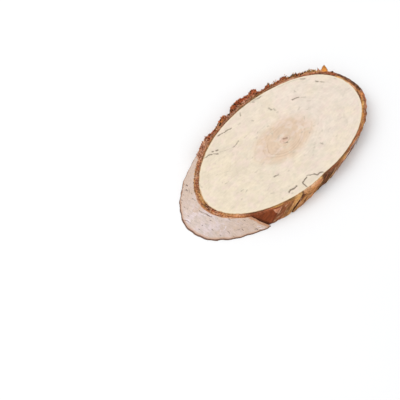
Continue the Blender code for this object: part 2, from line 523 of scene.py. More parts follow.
FLECKS = (
    (0.42, 0.6, -45.3, -7.0, -43.2, -7.2), (0.38, 0.55, -43.7, -9.3, -41.9, -9.0),
    (0.5, 0.8, -23.1, -14.6, -20.2, -15.3), (0.38, 0.55, -33.8, -21.5, -32.3, -22.3),
    (0.5, 0.62, 16.1, -18.5, 16.5, -20.3), (0.55, 0.6, 14.2, 23.2, 14.5, 21.9),
    (0.42, 0.5, 15.4, 20.4, 16.2, 20.1), (0.42, 0.6, 35.8, 20.8, 36.0, 19.7),
    (0.4, 0.85, 29.4, 17.0, 31.8, 16.3, 34.0, 15.3), (0.34, 0.66, 34.9, 14.2, 37.1, 12.2),
    (0.34, 0.55, 35.4, 9.1, 37.0, 8.1), (0.45, 0.66, 61.6, 8.7, 62.1, 7.2),
    (0.55, 0.7, -59.1, 15.4, -60.0, 12.8), (0.46, 1.0, 2.6, 0.5, 4.6, -0.7),
    (0.36, 0.85, 1.1, -2.6, 2.3, -3.0), (0.28, 0.62, 0.6, -0.7, 0.7, -2.1),
    (0.38, 0.6, 0.1, 8.6, 0.7, 8.5), (0.36, 0.5, 43.5, -14.6, 41.8, -16.4),
    (0.55, 0.62, 1.3, 36.4, 4.4, 36.6, 6.9, 36.3), (0.5, 0.66, 9.3, 35.0, 14.1, 34.3, 17.8, 33.4),
    (0.75, 0.72, 13.9, 23.1, 14.2, 21.6), (0.6, 0.62, 15.7, 20.8, 15.6, 19.5),
    (0.42, 0.56, 15.0, 17.3, 15.9, 17.2), (0.6, 0.78, 51.4, 15.8, 52.2, 14.7),
    (0.55, 0.6, 53.1, 13.8, 54.6, 11.6), (0.4, 0.8, 45.8, 24.3, 48.2, 22.4),
    (0.42, 0.66, -0.8, 24.6, -0.2, 23.8), (0.42, 0.56, 2.3, 14.2, 3.5, 13.8),
    (0.38, 0.54, -9.2, 13.0, -7.9, 13.4), (0.5, 0.66, 15.9, -18.9, 16.9, -19.5),
    (0.45, 0.54, 10.2, -18.0, 11.3, -18.0), (0.45, 0.52, 1.6, -17.3, 2.9, -17.5),
    (0.34, 0.56, 24.5, 2.4, 23.0, 0.8), (0.3, 0.56, 0.6, 8.4, -0.1, 7.4),
    (0.42, 0.54, 31.0, 30.7, 32.1, 30.4), (0.42, 0.6, 35.0, 20.3, 36.2, 20.2),
    (0.36, 0.5, 41.3, -18.9, 39.9, -20.6), (3.2, 0.3, -36.5, 4.6, -31.3, 3.5),
    (3.0, 0.26, -31.8, 21.7, -27.1, 20.1), (3.0, 0.24, 11.1, 26.7, 16.2, 23.5),
    (2.6, 0.26, 5.0, 37.7, 12.0, 36.2), (2.6, 0.2, 32.3, 13.7, 38.6, 10.6),
    (2.4, 0.2, 49.3, -6.5, 44.5, -13.1), (2.2, 0.22, 39.9, -18.6, 33.6, -22.3),
    (2.4, 0.2, -32.3, -4.2, -26.9, -7.6),
)
SCATTERED_FLECKS = 70
FLECK_SEED = 12


def disc_grid(cells):
    """A square grid squeezed into a disc: how far out each of its points lies, and its angle."""
    side = np.linspace(-1.0, 1.0, cells + 1)
    first, second = np.meshgrid(side, side, indexing="ij")
    steep = np.abs(second) > np.abs(first)
    large = np.where(steep, second, first)
    small = np.where(steep, first, second)
    turn = np.pi / 4 * small / np.where(large == 0, 1.0, large)
    angle = np.where(steep, np.pi / 2 - turn, turn) + np.where(large < 0, np.pi, 0.0)
    return np.abs(large).ravel(), angle.ravel()


def disc_border(cells):
    """The points round a disc grid's edge, in order of their angle."""
    index = np.arange((cells + 1) ** 2).reshape(cells + 1, cells + 1)
    sides = (index[cells, :cells], index[cells:0:-1, cells], index[0, cells:0:-1], index[:cells, 0])
    return np.concatenate(sides)


def rough_flat(spots, scale, seed):
    """Smooth noise near -1 to 1 at spots that lie flat."""
    solid = np.concatenate((spots, np.zeros((len(spots), 1))), axis=1)
    return rough(solid, (scale, scale, 1.0), seed, 2)


def marking(spots, lines):
    """How strongly each spot on the face is marked: over 1 in the middle of a line, 0 away from it."""
    spots = spots + 0.30 * np.stack((rough_flat(spots, 0.9, 2.0), rough_flat(spots, 0.9, 8.0)), axis=-1)
    thick = 1.30 + 0.55 * rough_flat(spots, 0.45, 5.0)
    strength = np.zeros(len(spots))
    for half_width, dark, *line in lines:
        corners = np.array(line).reshape(-1, 2)
        for start, end in zip(corners, corners[1:]):
            run = end - start
            share = np.clip((spots - start) @ run / (run @ run), 0.0, 1.0)
            away = np.linalg.norm(spots - start - share[:, None] * run, axis=1)
            near = np.clip(2 - away / (half_width * thick), 0.0, 2.0) / 2
            strength = np.maximum(strength, dark * near)
    return strength


def scattered_flecks(branch):
    """Short grey flecks that lie along the slant, all over the face."""
    chance = random.Random(FLECK_SEED)
    lines = []
    for i in range(SCATTERED_FLECKS):
        radius = branch.wood_radius * math.sqrt(chance.random()) * 0.95
        angle = chance.uniform(0, 2 * math.pi)
        x = branch.slant * radius * math.cos(angle)
        y = radius * math.sin(angle)
        length = chance.uniform(0.6, 2.4)
        lean = chance.uniform(-0.35, 0.35)
        half_width = chance.uniform(0.24, 0.42)
        dark = chance.uniform(0.36, 0.58)
        lines.append((half_width, dark, x, y, x + length, y + length * lean))
    return lines


def sawn_face(branch, cells, top, looks):
    """One sawn face: its points, how far each lies from the rim, and how strongly it is marked."""
    out, angle = disc_grid(cells)
    radius = branch.radius(angle)
    edge = radius * (1 - out) + ARRIS * out
    height = branch.thickness if top else 0.0
    points = branch.place(angle, -edge, height)
    flat = points[:, :2] - (branch.shift * height / branch.thickness, 0.0)
    cracks = marking(flat, CRACKS) if top else np.zeros(len(flat))
    flecks = marking(flat, (*FLECKS, *scattered_flecks(branch))) if top else np.zeros(len(flat))
    grain = branch.grain(points)
    across = np.hypot(grain[:, 0] - PITH[0], grain[:, 1] - PITH[1])
    ring = np.sin(2 * np.pi * across / (looks.ring_width / MM))
    pith = np.exp(-((across / 0.8) ** 2))
    sawing = np.sin(4.4 * flat[:, 0] + 1.5 * np.sin(0.21 * flat[:, 1]))
    sunk = 0.02 + 0.012 * sawing + 0.008 * ring + 0.12 * pith
    sunk = sunk + 0.02 * rough(points, (0.35, 1.3, 1.0), 3.1)
    sunk = sunk + looks.crack_depth / MM * smooth_step(cracks, 0.3, 0.95)
    sunk = sunk + 0.05 * smooth_step(flecks, 0.3, 0.9)
    sunk = np.maximum(sunk, 0.0) * smooth_step(edge, ARRIS, 3 * ARRIS)
    points[:, 2] += -sunk if top else sunk
    return points, edge, np.maximum(cracks, flecks)


def make_wood(branch, looks):
    """The sawn wood as one closed mesh: a coarse lower face, a fine upper one and a side between."""
    coarse, fine = looks.cells, 3 * looks.cells
    lower, lower_edge, lower_mark = sawn_face(branch, coarse, False, looks)
    upper, upper_edge, upper_mark = sawn_face(branch, fine, True, looks)
    lower_border = disc_border(coarse)
    border = disc_border(fine)
    angles = disc_grid(fine)[1][border]
    heights = np.linspace(ARRIS, branch.thickness - ARRIS, WALL_ROWS)
    side = branch.place(angles[None, :], 0.0, heights[:, None]).reshape(-1, 3)
    points = np.concatenate((lower, upper, side))
    faces = grid_faces(coarse + 1, coarse + 1, False, False).tolist()
    faces += (grid_faces(fine + 1, fine + 1, False, False) + len(lower)).tolist()
    around = len(border)
    first_side = len(lower) + len(upper)
    rings = [first_side + around * i + np.arange(around) for i in range(len(heights))]
    rings.append(len(lower) + border)
    for below, above in zip(rings, rings[1:]):
        faces += np.stack((below, np.roll(below, -1), np.roll(above, -1), above), axis=-1).tolist()

    # Each edge of the lower face meets three of the side's
    for i, corner in enumerate(lower_border):
        beside = lower_border[(i + 1) % len(lower_border)]
        first, second, third, fourth = (rings[0][(3 * i + j) % around] for j in range(4))
        faces += [(corner, second, first), (corner, beside, third, second), (beside, fourth, third)]
    on_side = np.zeros(len(side))
    layers = {
        "edge": np.concatenate((lower_edge, upper_edge, on_side)),
        "mark": np.concatenate((lower_mark, upper_mark, on_side)),
    }
    return write_mesh("sawn_wood", points, faces, layers, wood_finish(branch, looks), sharp=30.0)


def wood_finish(branch, looks):
    """Pale sawn birch: faint rings round a rosy heart, short fibres along the slant, grey cracks."""
    wood = Finish("sawn birch", 0.72, 0.30)
    place = wood.place
    grain = wood.grain(branch)
    disc = wood.vector("MULTIPLY", grain, (1, 1, 0))
    along_slice = wood.part(place, "X")

    # Cream on the left, rosier on the right, with soft clouds
    drift = wood.plus(along_slice, wood.noise(place, (0.03, 0.04, 0.03), shift=4.0))
    colour = wood.mix(wood.step(drift, -35, 55), tuple(looks.cream), tuple(looks.rosy))
    colour = wood.clouds(colour, place, (
        ((0.045, 0.06, 0.05), 3.0, 0.55, 1.0, 0.45, 0.70, 0.50, (0.760, 0.650, 0.480)),  # yellow
        ((0.09, 0.13, 0.1), 3.0, 0.6, 7.0, 0.52, 0.72, 0.45, (0.730, 0.610, 0.540)),  # lilac
        ((0.07, 0.10, 0.1), 4.0, 0.6, 19.0, 0.55, 0.75, 0.40, (0.640, 0.580, 0.475)),  # grey
    ))

    # The tinted heart
    to_heart = wood.vector("LENGTH", wood.vector("SUBTRACT", disc, (*HEART, 0)))
    waver = wood.noise(disc, (0.11, 0.11, 0.11), 2.0, 0.5, 2.0)
    to_heart = wood.plus(to_heart, wood.times(waver, 4.0))
    outer, inner = HEART_RADIUS + 5.6, HEART_RADIUS - 0.6
    colour = wood.over(colour, to_heart, outer, inner, 0.95, tuple(looks.heart))

    # Growth rings: they start round the pith and end up even with the rim
    from_axis = wood.vector("LENGTH", disc)
    closeness = wood.minus(1.0, wood.math("DIVIDE", from_axis, branch.wood_radius))
    pith = wood.vector("SCALE", (*PITH, 0), scale=closeness)
    ring_place = wood.vector("LENGTH", wood.vector("SUBTRACT", disc, pith))
    wobble = wood.times(wood.noise(disc, (0.07, 0.07, 0.07), 2.0, 0.5, 5.0), 5.0)
    fine_wobble = wood.times(wood.noise(disc, (0.6, 0.6, 0.6), 2.0, 0.6, 8.0), 0.5)
    ring_place = wood.plus(ring_place, wood.plus(wobble, fine_wobble))
    years = wood.math("DIVIDE", ring_place, looks.ring_width / MM)
    ring = wood.math("FRACT", years)
    late = wood.minus(wood.step(ring, 0.50, 0.90), wood.step(ring, 0.90, 1.0))
    year_place = wood.node("CombineXYZ", {0: wood.times(wood.math("FLOOR", years), 7.3)}).outputs[0]
    odd_years = wood.noise(year_place, (1.0, 1.0, 1.0), 0.0)
    patchy = wood.noise(disc, (0.05, 0.05, 0.05), 2.0, 0.5, 11.0)
    strength = wood.times(wood.step(odd_years, 0.40, 0.60, 0.20, 1.0), late)
    strength = wood.times(strength, wood.step(patchy, 0.36, 0.54, 0.25, 1.0))
    near_heart = wood.step(to_heart, 15.5, 11.0, 0.13, 1.0)
    strength = wood.times(strength, near_heart)
    colour = wood.mix(wood.times(strength, 0.74), colour, (0.450, 0.310, 0.210))

    # Small soft patches: rosy, mossy, and lighter or darker
    colour = wood.clouds(colour, place, (
        ((0.16, 0.21, 0.2), 2.0, 0.55, 27.0, 0.48, 0.68, 0.60, (0.745, 0.605, 0.530)),
        ((0.18, 0.24, 0.2), 2.0, 0.55, 33.0, 0.54, 0.70, 0.38, (0.660, 0.610, 0.490)),
    ))
    mottle = wood.noise(place, (0.20, 0.28, 0.3), 3.0, 0.60, 41.0)
    colour = wood.tint(colour, wood.step(mottle, 0.30, 0.70, 0.945, 1.055))

    # Short fibres, cut at a slant, then fine pores and small blots
    fibres = wood.noise(place, (0.22, 1.5, 1.5), 4.0, 0.6, 3.0)
    colour = wood.tint(colour, wood.step(fibres, 0.30, 0.70, 0.950, 1.040))
    colour = wood.clouds(colour, place, (
        ((0.55, 2.6, 2.6), 2.0, 0.5, 6.0, 0.66, 0.78, 0.35, (0.450, 0.370, 0.290)),
        ((0.35, 0.45, 0.4), 2.0, 0.5, 15.0, 0.66, 0.76, 0.35, (0.520, 0.470, 0.380)),
    ))

    # Cracks and stains
    mark = wood.attribute("mark")
    frayed = wood.times(wood.noise(place, (0.9, 1.6, 1.6), 3.0, 0.65, 9.0), 0.44)
    mark = wood.plus(mark, wood.minus(frayed, 0.22))
    colour = wood.over(colour, mark, 0.05, 0.55, 0.45, (0.500, 0.440, 0.350))
    colour = wood.over(colour, mark, 0.38, 0.80, 0.90, (0.190, 0.145, 0.105))

    # The pith, a little red
    to_pith = wood.vector("LENGTH", wood.vector("SUBTRACT", disc, (*PITH, 0)))
    colour = wood.over(colour, to_pith, 2.6, 0.5, 0.45, (0.590, 0.330, 0.220))

    # Against the bark: a thin brown line, then a pale band
    edge = wood.attribute("edge")
    uneven = wood.times(wood.noise(place, (0.35, 0.35, 0.35), 3.0, 0.6, 21.0), 0.9)
    edge = wood.plus(edge, wood.minus(uneven, 0.45))
    colour = wood.over(colour, edge, 1.5, 0.7, 0.5, (0.780, 0.690, 0.530))
    colour = wood.over(colour, edge, 0.42, 0.12, 0.8, (0.520, 0.300, 0.130))

    relief = wood.plus(wood.times(fibres, 0.6), wood.times(strength, -0.5))
    relief = wood.minus(relief, wood.step(mark, 0.4, 0.8))
    normal = wood.bump(relief, 0.06, 0.6)
    normal = wood.bump(wood.noise(place, (5.0, 7.0, 6.0), 3.0, 0.7), 0.02, 0.5, normal)
    return wood.finish(colour, normal, wood.step(fibres, 0.3, 0.7, 0.78, 0.66))


# The inner bark

# The bark's tones, by name. gap is near black: painted shade, for cracks, gaps and hollows between strips
# and grains
TONES = {
    "deep": (0.205, 0.046, 0.013), "crimson": (0.335, 0.058, 0.018), "rose": (0.37, 0.112, 0.05),
    "red": (0.3, 0.09, 0.036), "brown": (0.25, 0.085, 0.031), "umber": (0.15, 0.052, 0.022),
    "dark": (0.1, 0.038, 0.016), "gap": (0.05, 0.018, 0.008), "moss": (0.115, 0.066, 0.02),
    "olive": (0.24, 0.125, 0.038), "gold": (0.49, 0.247, 0.07), "straw": (0.62, 0.368, 0.14),
    "tan": (0.515, 0.25, 0.104), "sand": (0.66, 0.385, 0.225), "orange": (0.53, 0.2, 0.056),
    "flame": (0.7, 0.235, 0.045), "salmon": (0.5, 0.205, 0.11), "rust": (0.33, 0.125, 0.045),
    "amber": (0.55, 0.255, 0.072), "mauve": (0.33, 0.15, 0.092), "coral": (0.54, 0.148, 0.044),
    "scarlet": (0.48, 0.105, 0.04), "shell": (0.61, 0.31, 0.19), "pink": (0.56, 0.3, 0.205),
    "dust": (0.52, 0.385, 0.29),
}

TONE_RANGE = (0.004, 0.9)  # of every colour on the bark

# Strips of torn fibre on the near side: where each starts at the upper and at the lower face,
# in degrees, its tone, and how far it stands off
# The near-black gap strips are painted shade where strips part and in the dark hollow between them
NEAR_STRIPS = (
    (-180.0, -180.0, "deep", 0.0), (-121.4, -119.0, "brown", 0.14), (-119.8, -117.4, "brown", 0.18),
    (-118.7, -116.3, "red", 0.22), (-117.0, -114.3, "rust", 0.32), (-116.3, -113.7, "rust", 0.26),
    (-115.4, -112.4, "rust", 0.3), (-114.2, -111.2, "olive", 0.24), (-113.8, -110.7, "rust", 0.34),
    (-112.9, -109.8, "amber", 0.5), (-111.0, -108.9, "straw", 0.62), (-109.9, -108.5, "orange", 0.58),
    (-109.3, -108.2, "straw", 0.6), (-108.5, -107.5, "amber", 0.56), (-108.1, -106.9, "gap", -0.2),
    (-106.7, -105.6, "umber", 0.36), (-105.0, -104.9, "amber", 0.78), (-104.4, -104.5, "orange", 0.66),
    (-103.7, -104.2, "brown", 0.55), (-103.0, -103.2, "gold", 0.74), (-102.3, -102.5, "brown", 0.6),
    (-101.6, -101.8, "tan", 0.66), (-100.6, -100.0, "orange", 0.62), (-99.4, -98.6, "tan", 0.66),
    (-98.6, -97.6, "rust", 0.56), (-97.4, -96.2, "tan", 0.6), (-95.6, -94.0, "orange", 0.54),
    (-93.8, -90.6, "tan", 0.44), (-92.6, -87.6, "gap", 0.02), (-91.2, -86.2, "gap", 0.14),
    (-89.4, -84.4, "red", 0.3), (-88.6, -83.6, "dark", 0.24), (-87.4, -82.4, "umber", 0.28),
    (-86.2, -81.4, "dark", 0.28), (-85.2, -80.6, "umber", 0.32), (-83.6, -79.2, "dark", 0.18),
    (-82.7, -78.4, "sand", 0.52), (-82.0, -77.6, "dark", 0.1), (-80.6, -76.2, "orange", 0.4),
    (-79.5, -75.2, "umber", 0.22), (-78.5, -74.6, "sand", 0.5), (-77.8, -74.0, "red", 0.3),
    (-76.2, -72.6, "salmon", 0.34), (-74.0, -71.0, "olive", 0.22), (-71.6, -69.4, "tan", 0.24),
    (-68.0, -67.0, "brown", 0.16), (-64.6, -63.4, "sand", 0.14), (-61.0, -60.4, "orange", 0.1),
    (-57.4, -57.0, "brown", 0.16), (-52.5, -52.0, "olive", 0.1), (-47.0, -47.0, "brown", 0.12),
    (-40.0, -41.0, "tan", 0.08), (-33.0, -32.0, "brown", 0.1), (-27.0, -27.0, "salmon", 0.06),
    (-20.0, -21.0, "dust", 0.08), (-13.0, -12.0, "olive", 0.04), (-6.0, -7.0, "umber", 0.02),
    (3.0, 4.0, "dark", 0.0), (12.0, 11.0, "red", 0.02), (22.0, 23.0, "umber", 0.04),
)
LAST_NEAR_ANGLE = 30.0
LAST_FAR_ANGLE = 152.0
SPARE_TONES = (
    "brown", "umber", "red", "olive", "tan", "brown", "dark", "orange", "deep", "gold",
)
STRIP_SEED = 4
STRIP_EDGE = 0.13  # degrees over which one strip gives way to the next

# Where the bark's face stands off its even place: angle, and how far
FACE_SHIFTS = (
    (-180, 0.0), (-112, 0.0), (-104, -0.04), (-91, -0.06), (-76, 0.0), (-70, -0.3), (-64, -0.9),
    (-58.4, -1.15), (-57.4, 0.05), (-46, 0.05), (-30, 0.1), (-18, 0.2), (-8, -0.12), (0, -0.42),
    (8, -0.48), (18, -0.45), (26, -0.15), (34, 0.0), (180, 0.0),
)

# The angles between which the smooth stretch beside the white bark turns into torn fibre
SMOOTH_END = (-121.0, -118.5)

# The dark hollow on the near side: where it starts and is full, then where it ends and is full
HOLLOW = (-93.0, -90.0, -76.0, -82.0)

# The salmon flap beside the white bark: its sides at the upper face, its tip, and how far down
FLAP = (-127.0, -121.2, -118.9, 0.50)

# The angles between which the inner bark's cut rim has come away at its outer edge
TORN_RIM = (-146.0, -140.0, -80.0, -74.0)

# How coarse and bright the grains on the cut rim are, by angle
RIM_GRAINS = (
    (-180, 1.0), (-165, 0.9), (-150, 0.7), (-142, 0.15), (-60, 0.35), (-20, 0.6), (40, 0.8), (95, 0.9),
    (120, 1.0), (150, 1.0), (165, 0.9), (180, 1.0),
)

INNER_WALL = 0.03  # of the ring, outside the wood, where it all but touches

# Rows of points across the cut rim, from the bark's face to the wood, and back under it
ACROSS_TOP = (0.88, 0.74, 0.6, 0.45, 0.3, 0.15, 0.0)
ACROSS_UNDERSIDE = (0.0, 0.33, 0.67)

# The cut rim of the inner bark: angle, and its tone next to the wood, in the middle, further
# out, and along its outer edge
# Where the rim's tones are gap, they are painted shade standing for its cracks and gaps
RIM_TONES = (
    (-180, "gap gap dark orange"), (-177, "gap dark umber orange"), (-174, "gap crimson orange brown"),
    (-170, "umber rose sand red"), (-166, "brown orange salmon gap"), (-162, "gold tan orange tan"),
    (-157, "olive orange brown sand"), (-152, "tan shell orange brown"),
    (-147, "umber salmon orange brown"), (-142, "gap deep deep deep"), (-129, "dark rose deep deep"),
    (-126, "olive gold deep deep"), (-122, "olive gold brown brown"), (-119, "brown brown brown brown"),
    (-116, "moss olive rust brown"), (-113, "moss olive olive amber"), (-111, "tan straw gold gold"),
    (-108, "gold straw straw gold"), (-107, "gap gap gap gap"), (-106, "sand tan tan tan"),
    (-99, "sand sand tan orange"), (-95, "straw salmon salmon tan"), (-93, "straw straw brown brown"),
    (-91, "umber dark dark gap"), (-84, "dark red umber red"), (-79, "dark brown umber orange"),
    (-74, "moss olive gold sand"), (-70, "dark brown umber sand"), (-66, "umber orange brown salmon"),
    (-62, "umber brown tan salmon"), (-57, "brown red brown brown"), (-52, "olive red brown olive"),
    (-49, "brown rust gold brown"), (-46, "gold tan brown umber"), (-42, "gold orange rust mauve"),
    (-38, "amber orange brown dark"), (-34, "gold rust mauve brown"), (-30, "gold straw brown pink"),
    (-26, "amber amber umber rose"), (-22, "dark orange brown rose"), (-19, "dark rust orange rose"),
    (-15, "moss orange dark umber"), (-12, "tan umber gap moss"), (-8, "sand brown gap moss"),
    (-4, "tan rust gap gap"), (-1, "sand brown gap gap"), (3, "amber dark umber gap"),
    (8, "straw brown gap gap"), (13, "gold dark gap dark"), (17, "moss crimson deep umber"),
    (26, "umber red brown orange"), (34, "dark red salmon straw"), (43, "rose salmon tan gold"),
    (47, "rust brown orange brown"), (50, "pink olive brown dark"), (53, "pink mauve umber olive"),
    (57, "shell rose red orange"), (61, "mauve rose umber red"), (65, "moss mauve umber olive"),
    (69, "umber rust brown crimson"), (72, "olive umber brown umber"), (76, "moss olive umber red"),
    (80, "moss moss rose red"), (84, "olive mauve pink crimson"), (87, "moss olive pink crimson"),
    (90, "moss moss pink crimson"), (93, "brown mauve pink umber"), (99, "umber mauve rose red"),
    (106, "umber mauve rust olive"), (109, "umber rose coral shell"), (113, "olive rust coral salmon"),
    (118, "moss brown rust crimson"), (122, "olive rust shell pink"), (127, "moss brown shell salmon"),
    (131, "moss brown pink shell"), (134, "umber brown salmon tan"), (138, "dark umber scarlet gold"),
    (142, "umber rust umber tan"), (146, "dark umber sand gap"), (150, "umber rose red tan"),
    (157, "umber brown red tan"), (161, "umber olive orange umber"), (165, "olive gold brown sand"),
    (168, "gold straw orange umber"), (171, "amber straw orange shell"),
    (174, "olive amber umber orange"), (177, "gap dark olive orange"),
)


def bark_strips():
    """All the strips, in order of angle: the near side's as listed, and others beyond it."""
    chance = random.Random(STRIP_SEED)
    strips = list(NEAR_STRIPS)
    angle = LAST_NEAR_ANGLE
    while angle < LAST_FAR_ANGLE:
        slant = chance.uniform(-1.2, 1.2)
        lift = chance.choice((0.0, 0.15, 0.3, 0.45, 0.6))
        strips.append((angle, angle + slant, chance.choice(SPARE_TONES), lift))
        angle += chance.choice((0.8, 1.3, 1.9, 2.6, 3.8))
    strips.append((LAST_FAR_ANGLE, LAST_FAR_ANGLE, "deep", 0.0))
    return strips


def by_strip(degrees, share, strips, values, softness):
    """A value, or a colour, that changes from strip to strip across their slanting edges."""
    result = np.zeros(degrees.shape + np.shape(values[0])) + values[0]
    for strip, before, after in zip(strips[1:], values, values[1:]):
        edge = strip[1] + (strip[0] - strip[1]) * share
        passed = smooth_step(degrees - edge, -softness, softness)
        change = np.subtract(after, before)
        result += passed[..., None] * change if np.ndim(change) else passed * change
    return result


def flap_share(degrees, share, inset=0.0):
    """1 on the salmon flap, and 0 elsewhere. inset draws its sides in, in degrees."""
    left, right, tip, reach = FLAP
    down = (1 - share) / reach
    inside = smooth_step(degrees - (left + (tip - left) * down) - inset, -0.12, 0.12)
    inside = inside * smooth_step(right + (tip - right) * down - degrees - inset, -0.12, 0.12)
    return inside * (down < 1)


def flap_shades(degrees, share):
    """The salmon flap's tones and where each lies: a pale edge, then a darker middle."""
    return (("shell", flap_share(degrees, share)), ("salmon", flap_share(degrees, share, 0.55)))


def blended(table, degrees, outward, starts, ends):
    """The colour at an angle, from rows of an angle and its tones from the inside outwards."""
    angles = [angle for angle, names in table]
    shades = []
    for column in zip(*(names.split() for angle, names in table)):
        tones = np.array([TONES[name] for name in column])
        bands = [np.interp(degrees, angles, tones[:, i], period=360) for i in range(3)]
        shades.append(np.stack(bands, axis=-1))
    result = shades[0]
    for shade, start, end in zip(shades[1:], starts, ends):
        result = result + (shade - result) * smooth_step(outward, start, end)[..., None]
    return result


def rim_tone(degrees, outward):
    """The cut rim's colour: outward is 0 at the wood and 1 at the bark's face."""
    return blended(RIM_TONES, degrees, outward, (0.10, 0.40, 0.78), (0.30, 0.62, 0.92))


def inner_bark_face(branch, angle, height, strips):
    """The bark's outer face: how far out each point lies, and its colour."""
    degrees = wrapped(np.degrees(angle))
    share = height / branch.thickness
    bare = branch.bare_share(angle, height)
    start = branch.place(angle, branch.bark_face, height)
    grain = branch.grain(start)
    fibre = rough(grain, (1.9, 1.9, 0.10), 1.0)
    fine = rough(grain, (3.2, 3.2, 0.35), 9.0)
    lift = by_strip(degrees, share, strips, [strip[3] for strip in strips], STRIP_EDGE)
    flap = flap_share(degrees, share)
    smooth_side = smooth_step(degrees, *SMOOTH_END)
    right_end = smooth_step(np.abs(degrees), 14.0, 40.0)
    waves = ripple(angle, FIBRE_WAVES) * (0.3 + 0.7 * right_end)
    relief = lift + waves + smooth_side * (0.13 * fibre + 0.06 * fine) * right_end
    relief = relief + (1 - smooth_side) * 0.03 * fibre + 0.14 * flap
    relief = relief * bare + 0.03 * fine + np.interp(degrees, *zip(*FACE_SHIFTS))
    tones = by_strip(degrees, share, strips, [TONES[strip[2]] for strip in strips], STRIP_EDGE)
    tones = tones * (1 + 0.30 * fibre + 0.20 * fine)[..., None]
    speckle = rough(grain, (1.1, 1.1, 0.45), 14.0, 2)
    spotted = 0.50 * smooth_side * smooth_step(np.abs(speckle), 0.12, 0.45) * bare
    hollow = smooth_step(degrees, *HOLLOW[:2]) * smooth_step(degrees, *HOLLOW[2:])
    spotted = spotted * (1 - 0.8 * hollow)
    spot_tone = np.where(speckle[..., None] > 0, TONES["sand"], TONES["umber"])
    tones = tones + (spot_tone - tones) * spotted[..., None]
    for shade, amount in flap_shades(degrees, share):
        tones = tones + (np.array(TONES[shade]) - tones) * amount[..., None]
    # Painted shade: the bark is darkened to 0.45 under the white bark, and fades back to full just past
    # its tear
    shade = smooth_step(bare, 0.0, 0.6)[..., None]
    return branch.bark_face + relief, tones * (0.45 + 0.55 * shade)


def make_inner_bark(branch, looks):
    """The ring round the wood as one closed mesh: torn face, cut rim, inner wall and underside."""
    strips = bark_strips()
    angles = np.linspace(-np.pi, np.pi, looks.columns, endpoint=False)
    heights = np.linspace(0.0, branch.thickness, looks.rows)
    angle, height = np.meshgrid(angles, heights)
    depth, tones = inner_bark_face(branch, angle, height, strips)
    bands = [branch.place(angle, depth, height)]
    band_tones = [tones]
    band_rims = [np.zeros(angle.shape)]
    spread = wrapped(np.degrees(angles))
    grains = np.interp(spread, *zip(*RIM_GRAINS))
    torn = smooth_step(spread, *TORN_RIM[:2]) * smooth_step(spread, *TORN_RIM[:1:-1])
    for row, level, shares in ((-1, branch.thickness, ACROSS_TOP), (0, 0.0, ACROSS_UNDERSIDE)):
        outward, angle = np.meshgrid(shares, angles, indexing="ij")
        flat = branch.place(angle, INNER_WALL + outward * (depth[row] - INNER_WALL), level)
        pits = rough(branch.grain(flat), (1.4, 1.4, 1.4), 5.0, 3)
        sunk = np.clip(0.05 + 0.10 * pits + 0.30 * torn * outward**2, 0.0, 0.40)
        flat[..., 2] += -sunk if level else sunk
        seams = rough(np.stack((angle, outward, pits * 0), axis=-1), (7.0, 3.4, 1.0), 31.0, 3)
        seams = seams * smooth_step(np.abs(spread), 80.0, 40.0)
        colour = rim_tone(spread, outward) * (1 + 0.45 * pits + 0.75 * seams)[..., None]
        bands.append(flat)
        band_tones.append(colour)
        band_rims.append(np.zeros(angle.shape) + grains)
    band_tones[0][-1] += (rim_tone(spread, np.ones(len(angles))) - tones[-1]) * (1 - torn)[:, None]
    band_rims[0][-1] = grains
    bands[0][-1, :, 2] -= 0.30 * torn
    rows = np.concatenate(bands)
    faces = grid_faces(len(rows), looks.columns, True, True).tolist()
    layers = {
        "tone": np.clip(np.concatenate(band_tones).reshape(-1, 3), *TONE_RANGE),
        "rim": np.concatenate(band_rims).ravel(),
    }
    finish = inner_bark_finish(branch, "inner bark")
    return write_mesh("inner_bark_ring", rows.reshape(-1, 3), faces, layers, finish)


def inner_bark_finish(branch, name):
    """Red-brown bark: streaks of fibre along the branch, and coarse grains where the saw cut it."""
    bark = Finish(name, 0.82, 0.14)
    grain = bark.grain(branch)
    colour = bark.attribute("tone", "Color")
    rim = bark.attribute("rim")
    streaks = bark.noise(grain, (2.4, 2.4, 0.14), 4.0, 0.65, 2.0)
    colour = bark.tint(colour, bark.step(streaks, 0.28, 0.72, 0.72, 1.30))
    patches = bark.noise(grain, (0.22, 0.22, 0.08), 3.0, 0.6, 6.0)
    colour = bark.tint(colour, bark.step(patches, 0.35, 0.65, 0.86, 1.12))
    hairs = bark.noise(grain, (5.5, 5.5, 0.30), 3.0, 0.7, 12.0)
    colour = bark.over(colour, hairs, 0.60, 0.72, 0.30, (0.470, 0.230, 0.110))
    # Painted shade: near black where the hairs dip, in the crevices between the fibres
    colour = bark.over(colour, hairs, 0.40, 0.30, 0.55, (0.045, 0.016, 0.008))

    # Grains on the cut rim: orange, dark, and a little pale dust
    wavering = bark.noise(bark.place, (1.1, 1.1, 1.1), 2.0, 0.5, 3.0)
    jittered = bark.vector("ADD", bark.place, bark.vector("SCALE", (1.0, 1.0, 1.0), scale=wavering))
    seeds = bark.cells(jittered, 1.7, "Color")
    red, green, blue = bark.node("SeparateColor", {0: seeds}).outputs[:3]
    for seed, start, full, strength, tone in (
        (red, 0.58, 0.80, 0.60, (0.620, 0.290, 0.150)),
        (green, 0.62, 0.86, 0.62, (0.110, 0.030, 0.012)),
        (blue, 0.86, 0.96, 0.42, (0.600, 0.430, 0.300)),
    ):
        share = bark.times(bark.step(seed, start, full, 0, strength), rim)
        colour = bark.mix(share, colour, tone)
    grains = bark.cells(jittered, 1.7)

    height = bark.plus(streaks, bark.times(hairs, 0.6))
    normal = bark.bump(height, 0.22, 0.8)
    lumps = bark.times(grains, rim)
    normal = bark.bump(lumps, 0.25, 0.7, normal)
    return bark.finish(colour, normal, bark.step(streaks, 0.3, 0.7, 0.86, 0.68))


# Loose fibre

BLADE_ROWS = 9  # of points along each flake and splinter

